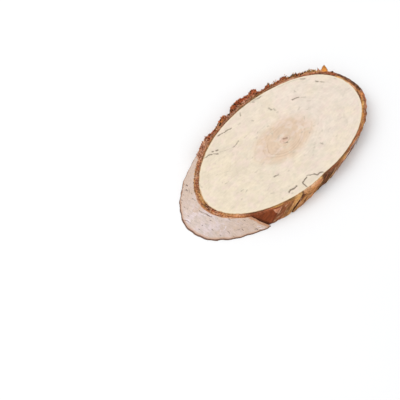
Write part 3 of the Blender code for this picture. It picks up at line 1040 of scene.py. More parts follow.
# Flakes laid on the near side: angle, height share, width and lift at one end, then at the
# other, and the tone
NEAR_FLAKES = (
    ((-58.6, 0.98, 0.35, 0.2), (-60.4, 0.7, 0.6, 1.45), "moss"),
    ((-121.6, 1.0, 0.6, 0.35), (-120.2, 0.5, 0.35, 0.3), "shell"),
    ((-103.6, 0.97, 0.45, 0.95), (-102.6, 0.45, 0.8, 1.0), "straw"),
    ((-106.7, 0.62, 0.5, 0.9), (-106.0, 0.1, 0.8, 1.05), "straw"),
    ((-98.9, 0.98, 0.6, 0.75), (-100.1, 0.42, 0.9, 0.85), "tan"),
    ((-91.8, 0.98, 0.5, 0.3), (-91.2, 0.3, 0.7, 0.45), "umber"),
    ((-79.6, 0.98, 0.5, 0.5), (-77.9, 0.25, 0.75, 0.8), "shell"),
    ((-66.0, 0.98, 0.6, 0.5), (-65.0, 0.2, 0.8, 0.9), "tan"),
    ((-57.6, 0.9, 0.55, 0.6), (-59.4, 0.05, 0.7, 1.5), "orange"),
    ((-55.4, 0.85, 0.4, 0.6), (-56.2, 0.25, 0.5, 1.1), "shell"),
)
SPARE_FLAKES = 90
FLAKE_STRETCHES = ((-118, -54), (36, 118))  # the angles between which spare flakes lie
FLAKE_THICKNESS = 0.16
FLAKE_SEED = 31

# Torn splinters on the far rim: angle and reach beyond the bark's face at the foot, the same at
# the tip, width at the foot, and tone
FAR_SPLINTERS = (
    (26.3, -0.5, 30.2, 2.35, 4.3, "flame"), (31.0, -0.3, 33.9, 1.45, 2.2, "salmon"),
    (67.9, 0.0, 67.6, 1.3, 2.4, "red"), (78.6, 1.2, 79.1, 3.8, 1.3, "red"),
    (79.3, 1.3, 80.7, 2.6, 1.1, "crimson"), (75.6, 0.6, 76.0, 1.9, 1.4, "red"),
    (73.9, 0.1, 73.5, 1.0, 0.9, "umber"), (93.4, 0.1, 94.3, 1.1, 0.9, "moss"),
    (90.8, 1.0, 92.2, 2.6, 1.5, "crimson"), (87.0, 0.9, 88.6, 2.1, 1.6, "crimson"),
    (83.0, 0.7, 84.6, 2.0, 1.7, "crimson"), (99.4, 0.6, 100.4, 2.2, 1.3, "orange"),
    (102.0, 0.1, 103.2, 1.6, 1.4, "orange"), (108.6, -0.3, 111.2, 1.1, 1.5, "rose"),
    (112.4, -0.1, 116.0, 1.9, 1.5, "red"), (117.4, 0.0, 119.2, 2.9, 1.2, "rose"),
    (121.0, 0.2, 123.2, 2.0, 1.2, "red"), (126.2, 0.3, 127.2, 2.1, 1.1, "rose"),
)

# The torn lip that stands out from the far rim: angle, and how far it reaches
LIP = (
    (14.5, -0.45), (19.7, -0.15), (24.0, -0.3), (29.5, -0.15), (32.8, 0.25), (34.1, 0.14), (35.4, 0.32),
    (36.9, 0.63), (38.1, 0.43), (39.7, 0.9), (40.4, 0.6), (41.6, 0.27), (43.5, 0.05), (46.4, 0.11),
    (49.3, 0.33), (50.7, 0.86), (51.6, 0.69), (52.1, -0.1), (53.9, -0.04), (55.5, 0.75), (56.7, 1.36),
    (57.3, 1.41), (58.6, 1.16), (59.4, 0.82), (60.3, 0.53), (62.1, 0.84), (64.4, 0.62), (65.7, 0.49),
    (66.3, -0.06), (66.9, 0.72), (67.8, 1.63), (68.3, 1.51), (69.2, 0.73), (70.1, -0.05), (72.4, 0.16),
    (74.9, 0.18), (76.4, 1.68), (78.1, 2.69), (79.4, 3.3), (80.1, 2.85), (80.7, 2.32), (80.9, 1.35),
    (83.0, 2.34), (84.6, 2.75), (86.6, 3.16), (88.7, 3.35), (89.7, 3.2), (91.4, 2.83), (92.5, 3.0),
    (93.4, 2.17), (93.7, 0.9), (94.3, 1.0), (94.9, 0.2), (96.0, 0.1), (97.4, 0.42), (98.4, 0.9),
    (99.4, 1.86), (100.3, 2.45), (101.2, 2.34), (101.7, 1.54), (102.6, 1.62), (103.5, 2.05),
    (104.0, 0.96), (104.8, 0.59), (105.8, 0.11), (107.3, -0.06), (109.0, 0.22), (110.3, 1.1),
    (111.4, 0.56), (112.8, 1.01), (114.1, 1.33), (115.0, 1.9), (115.7, 2.4), (116.6, 1.98), (117.8, 1.95),
    (118.4, 0.9), (119.2, 2.6), (119.9, 1.2), (120.8, 2.5), (121.6, 1.0), (122.6, 2.1), (123.4, 0.9),
    (124.2, 1.9), (125.0, 0.8), (125.9, 1.9), (126.7, 0.6), (129.0, -0.45),
)

# The lip's tones at its foot, in its middle and along its edge, by angle
LIP_TONES = (
    (15, "umber umber red"), (22, "umber crimson red"), (29, "brown red shell"), (33, "tan straw gold"),
    (38, "tan straw straw"), (40, "sand gold moss"), (43, "tan tan straw"), (46, "brown umber umber"),
    (49, "umber gold straw"), (51, "brown moss moss"), (53, "mauve umber olive"),
    (56, "brown orange orange"), (58, "brown salmon crimson"), (61, "red crimson mauve"),
    (64, "umber umber olive"), (66, "umber olive moss"), (68, "mauve mauve dark"),
    (70, "scarlet crimson rose"), (72, "brown umber gold"), (74, "rust umber tan"),
    (76, "brown rose dark"), (78, "shell scarlet scarlet"), (80, "pink scarlet moss"),
    (81, "pink mauve rose"), (84, "pink scarlet crimson"), (87, "salmon scarlet crimson"),
    (89, "salmon crimson rose"), (91, "pink scarlet crimson"), (92.5, "shell scarlet rose"),
    (94, "pink rose moss"), (97, "umber mauve pink"), (99, "mauve shell pink"), (101, "rust orange deep"),
    (102, "crimson umber deep"), (103.5, "rose orange amber"), (105, "umber tan umber"),
    (108, "umber olive moss"), (109.5, "salmon shell pink"), (111.5, "rust shell rose"),
    (113, "salmon crimson deep"), (115, "salmon pink deep"), (117, "shell sand pink"),
    (119, "shell pink sand"), (121, "pink sand pink"), (123, "shell pink shell"),
    (126, "shell sand pink"), (129, "brown salmon rose"),
)
LIP_PITCH = 0.11  # degrees from one of its columns of points to the next
LIP_FOOT = -0.75  # where it starts, inside the bark's face
LIP_THICKNESS = 1.1
FRINGE = (107.0, 110.0)  # where the lip's red ridge turns into its pink fringe
PINKER = (0.10, 0.16, 0.155)  # added to the colour of the pale grains on the fringe
EDGE_GRAINS = 420
GRAIN_ANGLES = (34.0, 128.5)  # the stretch of the lip's edge that has grains
PINK_FROM = 108.0  # the angle from which they are pink

# Lumps of crumbs on the far rim: angle, reach, size along the rim and outwards, how many, and tone
FAR_LUMPS = (
    (39.7, 0.55, 1.3, 0.8, 5, "olive"), (36.1, 0.35, 1.1, 0.7, 4, "olive"),
    (20.1, 0.0, 1.0, 0.4, 3, "dark"), (43.8, -0.05, 2.0, 0.5, 5, "dark"),
    (49.8, 0.35, 1.6, 0.7, 6, "moss"), (58.4, 0.9, 1.6, 0.7, 6, "red"), (56.8, 0.9, 1.9, 0.9, 8, "red"),
    (54.8, 0.05, 2.0, 0.8, 7, "orange"), (68.0, 0.3, 2.6, 0.8, 9, "red"),
    (77.9, 2.1, 2.6, 1.4, 10, "scarlet"), (76.2, 1.3, 1.7, 1.2, 8, "red"),
    (79.6, 1.8, 1.6, 1.6, 8, "red"), (74.9, 0.2, 1.4, 0.8, 6, "brown"), (81.7, 1.0, 1.8, 0.9, 8, "red"),
    (83.7, 1.6, 2.0, 1.2, 10, "crimson"), (85.4, 1.8, 2.0, 1.3, 11, "crimson"),
    (86.9, 1.7, 2.0, 1.4, 11, "crimson"), (88.4, 1.75, 2.0, 1.4, 11, "red"),
    (89.8, 2.0, 2.0, 1.3, 11, "crimson"), (91.2, 2.2, 1.8, 1.2, 10, "crimson"),
    (92.4, 2.0, 1.5, 1.1, 8, "red"), (84.5, 0.45, 3.6, 0.6, 8, "pink"), (88.5, 0.6, 3.6, 0.6, 8, "pink"),
    (92.3, 0.6, 2.0, 0.9, 7, "umber"), (94.6, 0.1, 2.4, 0.9, 8, "pink"),
    (100.2, 1.8, 1.5, 1.0, 8, "orange"), (99.4, 0.5, 1.6, 0.9, 7, "red"),
    (101.2, 0.5, 1.6, 1.0, 8, "orange"), (102.8, 1.0, 1.8, 1.0, 8, "orange"),
    (103.8, -0.1, 1.4, 0.6, 5, "dark"), (104.3, 0.7, 1.4, 0.9, 6, "sand"),
    (106.5, 0.6, 1.8, 0.9, 6, "sand"), (110.4, 0.5, 1.8, 0.7, 8, "rose"),
    (113.2, 0.6, 2.0, 0.9, 10, "red"), (115.4, 1.3, 1.8, 0.9, 9, "red"),
    (114.8, 0.0, 2.0, 0.8, 8, "rose"),
)
FAR_TOP = 10.4  # how high torn fibre may stand
FAR_EDGE = 41.95  # how far out it may reach
FAR_RISE = 0.40  # of the torn fibre, for each millimetre that it reaches out
FAR_SUNK = 0.35  # how far its foot lies below the upper face
FAR_SEED = 8


def varied(chance, tone, spread=0.22):
    """The tone a little lighter or darker, and a little redder or yellower."""
    light = chance.uniform(1 - spread, 1 + spread)
    warmth = chance.uniform(0.88, 1.14)
    red, green, blue = TONES[tone]
    return np.array((red * light, green * light * warmth, blue * light * warmth))


def lay_flake(heap, branch, start, end, tone, chance):
    """A thin flake that lies along the bark's slope, its ends a little off it."""
    share = np.linspace(0.0, 1.0, BLADE_ROWS)
    angle = np.radians(np.interp(share, (0, 1), (start[0], end[0])))
    angle = angle + np.radians(0.25) * np.sin(share * math.pi * chance.uniform(1, 3))
    height = branch.thickness * np.interp(share, (0, 1), (start[1], end[1]))
    lift = np.interp(share, (0, 1), (start[3], end[3]))
    taper = np.sqrt(np.clip(4 * share * (1 - share) + 0.12, 0.0, 1.0))
    centres = branch.place(angle, branch.bark_face + lift, height)
    sides = unit(branch.place(angle + 0.01, branch.bark_face, height)
                 - branch.place(angle - 0.01, branch.bark_face, height))
    headings = unit(np.gradient(centres, axis=0))
    normals = unit(np.cross(sides, headings))
    widths = np.interp(share, (0, 1), (start[2], end[2])) * taper
    widths = widths * np.array([chance.uniform(0.8, 1.15) for spot in share])
    tones = [np.clip(tone * chance.uniform(0.82, 1.12), 0, 0.9) for spot in share]
    heap.blade(centres, sides, normals, widths, np.full(len(share), FLAKE_THICKNESS), tones)


def make_near_flakes(branch, finish):
    """Thin flakes and slivers all over the bare bark's slope."""
    chance = random.Random(FLAKE_SEED)
    heap = Heap()
    for start, end, tone in NEAR_FLAKES:
        lay_flake(heap, branch, start, end, varied(chance, tone, 0.08), chance)
    for i in range(SPARE_FLAKES):
        angle = chance.choice([chance.uniform(*stretch) for stretch in FLAKE_STRETCHES])
        top = chance.uniform(0.35, 0.98)
        bottom = max(0.03, top - chance.uniform(0.15, 0.6))
        width = chance.uniform(0.25, 0.7)
        lift = chance.uniform(0.2, 0.6)
        drift = chance.uniform(-0.8, 0.8)
        tone = varied(chance, chance.choice(SPARE_TONES))
        start = (angle, top, width, lift)
        end = (angle + drift, bottom, width * chance.uniform(0.7, 1.3), lift + chance.uniform(0.0, 0.3))
        lay_flake(heap, branch, start, end, tone, chance)
    return heap.write("near_flakes", finish)


def far_place(branch, degrees, reach):
    """A place on the far rim, at an angle and a reach beyond the bark's face."""
    height = branch.thickness + FAR_RISE * reach - FAR_SUNK
    return branch.place(np.radians(degrees), branch.bark_face + reach, height)


def raise_splinter(heap, branch, chance, foot, tip, width, tone):
    """A torn splinter with a broad foot sunk in the bark, and a ragged tip."""
    share = np.linspace(-0.25, 1.0, BLADE_ROWS)
    degrees = foot[0] + (tip[0] - foot[0]) * share
    reach = foot[1] + (tip[1] - foot[1]) * share
    centres = far_place(branch, degrees, reach)
    beyond = far_place(branch, degrees[0] + 0.5, reach[0])
    side = unit(beyond - far_place(branch, degrees[0] - 0.5, reach[0]))
    centres = centres + side * (0.10 * np.sin(share * 9 + foot[0]))[:, None]
    headings = unit(np.gradient(centres, axis=0))
    normals = unit(np.cross(side, headings))
    sides = np.cross(headings, normals)
    ragged = np.array([chance.uniform(0.85, 1.12) for spot in share])
    point = 2.8 if width > 3 else 1.3
    widths = width * np.clip(1.02 - np.clip(share, 0, 1) ** point, 0.10, 1.0) * ragged
    thicknesses = 0.75 - 0.45 * np.clip(share, 0, 1)
    tones = [np.clip(tone * (1.12 - 0.75 * max(spot, 0) ** 2), 0, 0.9) for spot in share]
    heap.blade(centres, sides, normals, widths, thicknesses, tones)


def drop_crumb(heap, branch, chance, degrees, reach, size, tone):
    """A crumb on the far rim, kept under the height that the shreds reach."""
    centre = far_place(branch, degrees, reach)
    centre[2] = min(centre[2] + chance.uniform(0.20, 0.65), FAR_TOP - 0.8 * size)
    centre[1] = min(centre[1], FAR_EDGE - 0.8 * size)
    heap.crumb(centre, size, tone, chance)


def make_torn_lip(branch, finish):
    """The torn lip of the inner bark on the far rim, as one closed mesh."""
    degrees = np.arange(LIP[0][0], LIP[-1][0], LIP_PITCH)
    reach = np.interp(degrees, *zip(*LIP))
    top = np.linspace(0.0, 1.0, 18)
    loop = np.concatenate((top, [1.0], top[:0:-2]))
    under = np.concatenate((np.zeros(len(top)), [0.5], np.ones(len(top[:0:-2]))))
    share, turn = np.meshgrid(loop, degrees)
    out = LIP_FOOT + (reach[:, None] - LIP_FOOT) * share
    spots = branch.grain(branch.place(np.radians(turn), branch.bark_face + out, branch.thickness))
    lumps = rough(spots, (1.3, 1.3, 1.0), 6.0, 2)
    grit = rough(spots, (3.4, 3.4, 2.5), 16.0, 2)
    out = out + smooth_step(share, 0.3, 1.0) * (0.45 * lumps + 0.25 * grit)
    long = smooth_step(reach, 0.8, 2.2)[:, None]
    crest = 0.38 * long * smooth_step(share, 0.40, 0.62) * smooth_step(share, 1.02, 0.80)
    rise = FAR_RISE * np.maximum(out, -0.2) - 0.12 + crest + 0.45 * lumps + 0.22 * grit
    fall = LIP_THICKNESS + 1.0 * (1 - share)
    height = branch.thickness + rise - under * fall
    height = np.where(share < 0.15, np.minimum(height, branch.thickness - 0.25), height)
    height = np.minimum(height, FAR_TOP)
    points = branch.place(np.radians(turn), branch.bark_face + out, height)
    tones = 1.18 * blended(LIP_TONES, turn, share, (0.30, 0.66), (0.50, 0.84))
    clumps = rough(spots, (0.95, 0.95, 0.8), 26.0, 3)
    # Painted shade: toward the gap tone where the lumps and clumps dip, less on the pink fringe
    dark = smooth_step(-lumps - clumps, 0.12, 0.50)[..., None]
    pale = 0.55 * smooth_step(clumps + grit, 0.25, 0.60)[..., None]
    # Painted light and shade: lighter where grit and lumps stand up, darker where they dip
    tones = tones * (1 + 0.45 * grit + 0.25 * lumps)[..., None]
    fringe = smooth_step(turn, *FRINGE)[..., None]
    tones = tones + (TONES["coral"] + fringe * PINKER - tones) * pale
    tones = tones + (np.array(TONES["gap"]) - tones) * (0.72 - 0.32 * fringe) * dark
    # Painted shade: the lip's underside darker
    tones = tones * (1 - 0.45 * under)[..., None]
    count = len(loop)
    total = len(degrees) * count
    faces = grid_faces(len(degrees), count, False, True).tolist()
    faces.append(range(count))
    faces.append(range(total - count, total))
    layers = {"tone": np.clip(tones.reshape(-1, 3), *TONE_RANGE), "rim": np.full(total, 0.9)}
    return write_mesh("torn_lip", points.reshape(-1, 3), faces, layers, finish, sharp=70.0)


def make_far_shreds(branch, finish):
    """The torn fibre on the far rim: splinters with a broad foot, and lumps of coarse crumbs."""
    chance = random.Random(FAR_SEED)
    heap = Heap()
    for start, out, end, reach, width, tone in FAR_SPLINTERS:
        shade = varied(chance, tone, 0.06)
        raise_splinter(heap, branch, chance, (start, out), (end, reach), width, shade)
    for i in range(EDGE_GRAINS):
        degrees = chance.uniform(*GRAIN_ANGLES)
        out = np.interp(degrees, *zip(*LIP)) + chance.uniform(-0.6, 0.62)
        middle, edge = [names for angle, names in LIP_TONES if angle <= degrees][-1].split()[1:]
        # Below PINK_FROM the dark grains are near-black gap crumbs: painted shade between the grains
        dark, pale = ("red", "pink") if degrees > PINK_FROM else ("gap", "coral")
        shade = chance.choice((edge, middle, dark, pale))
        size = chance.uniform(0.45, 0.95)
        drop_crumb(heap, branch, chance, degrees, out, size, varied(chance, shade, 0.25))
    for where, reach, wide, deep, count, tone in FAR_LUMPS:
        for i in range(count * 2):
            turn = chance.uniform(0, 2 * math.pi)
            away = math.sqrt(chance.random())
            degrees = where + math.degrees(wide / 2 * away * math.cos(turn) / branch.wood_radius)
            out = reach + deep / 2 * away * math.sin(turn)
            reds = (tone, tone) if tone in ("dark", "moss", "olive") else ("scarlet", "coral")
            # Some crumbs take the gap tone: painted shade between the crumbs
            shade = chance.choice((tone, tone, *reds, "gap"))
            size = chance.uniform(0.50, 1.20)
            drop_crumb(heap, branch, chance, degrees, out, size, varied(chance, shade, 0.25))
    return heap.write("far_shreds", finish)


# Rim crumbs: first and last angle, how far out, how many, and their tones
# The gap crumbs are painted shade between the grains
RIM_CRUMBS = (
    (31.0, 42.0, 0.45, 26, "tan straw olive"), (42.0, 56.0, 0.25, 26, "umber red tan"),
    (56.0, 76.0, 0.4, 54, "red brown orange"), (76.0, 92.0, 0.5, 60, "pink red olive"),
    (92.0, 100.0, 0.8, 40, "pink red moss"), (100.0, 108.0, 1.0, 50, "orange sand umber"),
    (108.0, 117.0, 1.6, 80, "pink shell rose deep"),
    (117.0, 129.0, 2.6, 230, "pink shell sand rose shell pink crimson"),
    (128.0, 140.0, 0.35, 60, "pink red tan shell"), (138.0, 162.0, 0.1, 60, "red straw tan gap gold"),
    (-74.0, -60.0, 0.1, 8, "brown tan salmon"), (-46.0, -12.0, 0.1, 16, "pink dust brown"),
)
CRUMB_SEED = 17


def make_rim_crumbs(branch, finish):
    """Grains of bark that the saw left along the rim's outer edge."""
    chance = random.Random(CRUMB_SEED)
    heap = Heap()
    for first, last, out, count, tones in RIM_CRUMBS:
        for i in range(count):
            degrees = chance.uniform(first, last)
            shift = np.interp(degrees, *zip(*FACE_SHIFTS))
            reach = chance.uniform(-0.5, out * chance.random() ** 0.6)
            tone = varied(chance, chance.choice(tones.split()), 0.3)
            drop_crumb(heap, branch, chance, degrees, reach + shift, chance.uniform(0.40, 0.90), tone)
    return heap.write("rim_crumbs", finish)


# The white bark

LENTICEL_SEED = 23
# Pores that run round the branch, listed one by one: angle, place along the branch, length, half width
LENTICELS = (
    (141.0, -42.8, 1.6, 0.2), (143.5, -44.5, 1.3, 0.22), (146.5, -43.1, 1.1, 0.2),
    (145.0, -46.3, 1.8, 0.24), (149.0, -45.7, 1.2, 0.2), (152.0, -48.5, 1.6, 0.22),
    (139.0, -40.9, 1.2, 0.2), (-150.0, -45.3, 1.8, 0.18), (-163.0, -49.3, 1.4, 0.18),
    (-141.0, -39.3, 1.5, 0.18),
)
SPARE_LENTICELS = 46
# Creases, gaps and scars: half the width, how dark, or how light where below 0, and then the
# points of a line, each an angle and a height share. The dark lines in creases and gaps are painted
# shade, the light lines and patches painted highlights; the dark dashes and scars are the bark's own
# colour.
SHEET_MARKS = (
    (0.3, 0.8, 167.8, 0.03, 172.7, 0.18, 177.3, 0.26),
    (0.34, 1.0, 176.8, 0.87, -176.5, 0.91, -170.4, 0.92), (0.26, 0.9, 161.9, 0.8, 166.5, 0.96),
    (0.34, 0.9, 141.9, 0.34, 146.1, 0.54), (0.34, 0.9, 147.1, 0.4, 151.7, 0.62),
    (0.3, 0.8, 151.6, 0.72, 154.2, 0.71), (0.36, 0.9, 143.2, 0.06, 144.2, 0.1),
    (0.36, 0.9, 148.0, 0.12, 148.8, 0.16), (0.3, 0.6, -147.4, 0.48, -143.6, 0.44),
    (0.34, 0.66, -143.9, 0.47, -140.4, 0.53), (0.34, 0.66, -144.3, 0.71, -143.7, 0.72),
    (0.34, 0.66, -140.9, 0.66, -140.2, 0.66), (0.34, 0.66, -135.9, 0.56, -135.0, 0.55),
    (0.42, 0.9, -131.4, 0.26, -129.7, 0.21), (0.4, 0.9, -127.4, 0.06, -126.4, 0.05),
    (0.4, 0.5, -164.3, 0.47, -163.3, 0.46), (0.34, -0.8, 167.5, 0.09, 175.6, 0.3),
    (0.34, -0.9, 177.8, 0.79, -175.8, 0.84), (0.6, -0.5, -162.3, 0.66, -160.0, 0.76, -157.6, 0.74),
    (0.6, -0.6, -155.2, 0.66, -154.6, 0.52, -156.8, 0.46), (0.7, -0.4, -159.6, 0.52, -158.0, 0.6),
    (0.75, -1.0, -127.8, 0.2, -124.6, 0.12), (0.6, -0.8, -131.4, 0.4, -128.6, 0.34),
    (0.36, -0.6, -150.0, 0.8, -146.5, 0.76), (0.4, -0.5, 172.0, 0.62, 176.0, 0.7),
)
# Peeled edges that run round the branch: first and last angle, place along it, and height
PEELS = (
    (-146.0, -179.0, -51.9, 0.16), (165.0, -176.0, -47.5, 0.13), (-128.0, -147.0, -41.7, 0.12),
    (128.0, 158.0, -38.3, 0.12), (150.0, 178.0, -43.9, 0.14),
)
TORN_BAND = 0.95  # of bared tan layers along the white bark's tear
SHEET_THICKNESS = (0.26, 0.52)  # towards the far tear, and from the left end on

# How far the sheet's lower edge stands off the inner bark, by angle from the +X end, the far way
# round
SHEET_FLARES = ((120, 0.0), (150, 0.02), (165, 0.25), (180, 0.45), (190, 0.80), (200, 1.00), (240, 0.90))


def arc_share(degrees, first, last, fade):
    """1 between two angles, counted round from first to last the short way, fading at the ends."""
    middle = first + wrapped(last - first) / 2
    half = abs(wrapped(last - first)) / 2
    return smooth_step(half - np.abs(wrapped(degrees - middle)), 0.0, fade)


def lenticel_marks(degrees, station, radius):
    """How strongly each point lies in a lenticel: up to 1 along its middle."""
    chance = random.Random(LENTICEL_SEED)
    lines = list(LENTICELS)
    for i in range(SPARE_LENTICELS):
        angle = wrapped(180.0 + chance.uniform(-58, 58))
        lines.append((angle, chance.uniform(-74, -32), chance.uniform(0.5, 1.8), 0.16))
    strength = np.zeros(degrees.shape)
    for angle, where, length, half_width in lines:
        round_it = np.radians(wrapped(degrees - angle)) * radius / (length / 2)
        along = (station - where) / half_width
        away = np.sqrt(np.clip(np.abs(round_it) - 0.6, 0, None) ** 2 * 4 + along**2)
        strength = np.maximum(strength, np.clip(1.4 - away, 0.0, 1.0))
    return strength


def sheet_marks(degrees, level, branch):
    """How strongly each point of the white bark is marked: dark above 0, for painted shade in creases and
    gaps and for scars, and light below, for painted highlights.
    """
    slope = branch.thickness * branch.slant
    strength = np.zeros(degrees.shape)
    for half_width, dark, *line in SHEET_MARKS:
        near = np.zeros(degrees.shape)
        corners = tuple(zip(line[::2], line[1::2]))
        for (first, low), (last, high) in zip(corners, corners[1:]):
            run = math.radians(wrapped(last - first)) * branch.wood_radius
            run = np.array((run, (high - low) * slope))
            across = np.radians(wrapped(degrees - first)) * branch.wood_radius
            up = (level - low) * slope
            share = np.clip((across * run[0] + up * run[1]) / (run @ run), 0.0, 1.0)
            away = np.hypot(across - share * run[0], up - share * run[1])
            near = np.maximum(near, np.clip(1.6 - away / (0.62 * half_width), 0.0, 1.0))
        strength = strength + dark * near
    spots = np.stack((degrees * 0.9, level * 14, level * 0), axis=-1)
    return np.clip(strength, -1.0, 1.0) * (0.75 + 0.5 * rough(spots, (1, 1, 1), 3.0, 2))


def make_white_bark(branch, looks):
    """The sheet of white bark round the left end, as one closed mesh."""
    columns = looks.sheet_columns
    level = np.linspace(0.0, 1.0, looks.rows)[:, None]
    height = branch.thickness * level
    spots = np.concatenate((height * 1.8, height * 0, height * 0), axis=1)
    fray = 0.55 * rough(spots, (0.35, 1, 1), 2.0) + 0.30 * rough(spots, (1.6, 1, 1), 6.0)
    near, far = branch.tears(height)
    start = far + fray[::-1, None] / branch.reach * 1.3
    end = 2 * math.pi - near + fray[:, None] / branch.reach * 1.3
    share = np.linspace(0.0, 1.0, columns)[None, :]
    angle = start + (end - start) * share
    degrees = wrapped(np.degrees(angle))
    height = height + 0 * angle
    down = 1 - level + 0 * angle

    base = branch.place(angle, branch.bark_face, height)
    grain = branch.grain(base)
    here = grain[..., 2]
    torn_at = np.where(share < 0.5, here[:, :1], here[:, -1:])
    from_tear = np.abs(here - torn_at)
    from_end = np.minimum(share, 1 - share) * (end - start) * branch.wood_radius
    lift = np.interp(degrees % 360, *zip(*SHEET_FLARES)) * down**1.3
    lift = lift + CURL * np.exp(-((from_end / CURL_REACH) ** 2)) * (share > 0.5)
    back = branch.bark_face + 0.04 + lift

    crinkle = rough(grain, (0.5, 0.5, 1.5), 4.0, 3)
    folds = rough(grain, (0.16, 0.16, 0.5), 8.0)
    pores = lenticel_marks(degrees, here, branch.wood_radius)
    marks = sheet_marks(degrees + 0.5 * crinkle, level + 0.02 * folds, branch)
    relief = ripple(angle, BARK_WAVES) + 0.05 * crinkle + 0.10 * folds + 0.10 * pores - 0.14 * marks
    for peel_first, peel_last, where, rise in PEELS:
        past = where + 0.6 * folds - here
        edge = smooth_step(past, 0.0, 0.25) * smooth_step(past, 3.5, 0.6)
        relief = relief + rise * edge * arc_share(degrees, peel_first, peel_last, 6.0)
    band = TORN_BAND * (1 + 0.5 * folds + 0.35 * crinkle)
    torn = smooth_step(from_tear, band + 0.18, band - 0.02)
    thin, thick = SHEET_THICKNESS
    thickness = (thin + (thick - thin) * smooth_step(degrees % 360, 135, 175)) * (1 - 0.5 * torn)
    front = back + thickness + relief * (1 - 0.7 * torn)
    front = np.maximum(front, back + 0.12)

    points = np.concatenate((
        branch.place(angle, front, height).reshape(-1, 3),
        branch.place(angle, back, height).reshape(-1, 3),
    ))
    count = looks.rows * columns
    face = grid_faces(looks.rows, columns, False, False)
    index = np.arange(count).reshape(looks.rows, columns)
    border = np.concatenate((index[0, :-1], index[:-1, -1], index[-1, :0:-1], index[:0:-1, 0]))
    following = np.roll(border, -1)
    walls = np.stack((border, following, following + count, border + count), axis=-1)
    faces = np.concatenate((face, face[:, ::-1] + count, walls)).tolist()
    layers = {
        "torn": np.concatenate((torn.ravel(), np.ones(count))),
        "pore": np.concatenate((pores.ravel(), np.zeros(count))),
        "mark": np.concatenate((marks.ravel(), np.zeros(count))),
    }
    return write_mesh("white_bark", points, faces, layers, white_bark_finish(branch, looks))


def white_bark_finish(branch, looks):
    """Chalky white bark with lilac and grey bloom, dark pores, and tan where its layers show."""
    paper = Finish("white bark", 0.62, 0.35)
    grain = paper.grain(branch)
    colour = tuple(looks.white)
    bloom = paper.noise(grain, (0.16, 0.16, 0.22), 4.0, 0.6, 1.0)
    colour = paper.over(colour, bloom, 0.42, 0.62, 0.80, (0.690, 0.580, 0.590))
    colour = paper.clouds(colour, grain, (
        ((0.30, 0.30, 0.55), 4.0, 0.65, 5.0, 0.48, 0.66, 0.75, (0.520, 0.445, 0.400)),  # grey
        ((0.22, 0.22, 0.16), 3.0, 0.6, 9.0, 0.54, 0.74, 0.60, (0.560, 0.390, 0.275)),  # tan
    ))
    to_far_side = paper.part(paper.place, "Y")
    colour = paper.over(colour, to_far_side, -10.0, -26.0, 0.60, (0.640, 0.465, 0.345))
    far_side = paper.step(to_far_side, 4.0, 17.0, 0, 0.70)
    colour = paper.mix(far_side, colour, (0.560, 0.420, 0.330))

    # Fine layers run round the branch, and dirt streaks run along it
    layers = paper.noise(grain, (0.35, 0.35, 3.2), 4.0, 0.6, 13.0)
    colour = paper.tint(colour, paper.step(layers, 0.30, 0.70, 0.88, 1.07))
    colour = paper.over(colour, layers, 0.345, 0.30, 0.45, (0.270, 0.190, 0.150))
    dirt = paper.noise(grain, (1.5, 1.5, 0.40), 4.0, 0.7, 17.0)
    colour = paper.over(colour, dirt, 0.60, 0.72, 0.50, (0.300, 0.215, 0.170))
    specks = ((1.8, 1.8, 2.4), 1.0, 0.5, 22.0, 0.70, 0.78, 0.70, (0.150, 0.100, 0.095))
    colour = paper.clouds(colour, grain, (specks,))
    chalk = paper.noise(grain, (0.9, 0.9, 1.6), 3.0, 0.6, 31.0)
    colour = paper.over(colour, chalk, 0.60, 0.74, 0.45, (0.800, 0.720, 0.680))

    pore = paper.attribute("pore")
    colour = paper.over(colour, pore, 0.15, 0.75, 0.80, (0.130, 0.085, 0.070))
    mark = paper.attribute("mark")
    uneven = paper.noise(grain, (1.4, 1.4, 1.4), 3.0, 0.6, 35.0)
    # Dark marks: painted shade in creases and gaps, and scars; light marks: painted highlights
    for way, least, most, tone in ((1, 0.45, 1.0, (0.105, 0.065, 0.060)),
                                   (-1, 0.35, 0.9, (0.790, 0.690, 0.720))):
        marked = paper.step(mark, 0.10 * way, 0.70 * way)
        share = paper.times(marked, paper.step(uneven, 0.25, 0.60, least, most))
        colour = paper.mix(share, colour, tone)
    gritty = paper.noise(grain, (2.6, 2.6, 2.0), 2.0, 0.6, 44.0)
    grit = paper.times(paper.step(gritty, 0.60, 0.72, 0, 0.75), far_side)
    colour = paper.mix(grit, colour, (0.120, 0.080, 0.065))

    # Torn and cut edges, and along the lower edge a salmon band, then a dark brown line
    torn = paper.attribute("torn")
    fray = paper.times(paper.noise(grain, (1.6, 1.6, 1.6), 3.0, 0.6, 3.0), 0.5)
    torn = paper.plus(torn, paper.minus(fray, 0.25))
    tan = paper.mix(paper.step(layers, 0.35, 0.65), tuple(looks.tan), (0.600, 0.330, 0.200))
    colour = paper.over(colour, torn, 0.35, 0.70, 0.92, tan)
    low = paper.plus(paper.part(paper.place, "Z"), paper.times(fray, 0.6))
    colour = paper.over(colour, low, 1.45, 0.95, 0.66, (0.540, 0.315, 0.205))
    # The dark brown line is partly the edge's own colour and partly painted contact shadow under the sheet
    colour = paper.over(colour, low, 0.82, 0.58, 0.92, (0.130, 0.056, 0.028))

    height = paper.plus(layers, paper.times(dirt, 0.5))
    normal = paper.bump(height, 0.10, 0.7)
    normal = paper.bump(chalk, 0.06, 0.5, normal)
    return paper.finish(colour, normal, paper.step(bloom, 0.4, 0.7, 0.70, 0.55))


# Operators


class BIRCH_OT_wood(bpy.types.Operator):
    """Makes the sawn wood in place of its solid"""

    bl_idname = "birch.wood"
    bl_label = "Sawn wood"

    def execute(self, context):
        scene = context.scene
        piece = make_wood(Branch(scene.birch_branch), scene.birch_wood)
        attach(piece, BODY)
        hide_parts("wood")
        return {"FINISHED"}


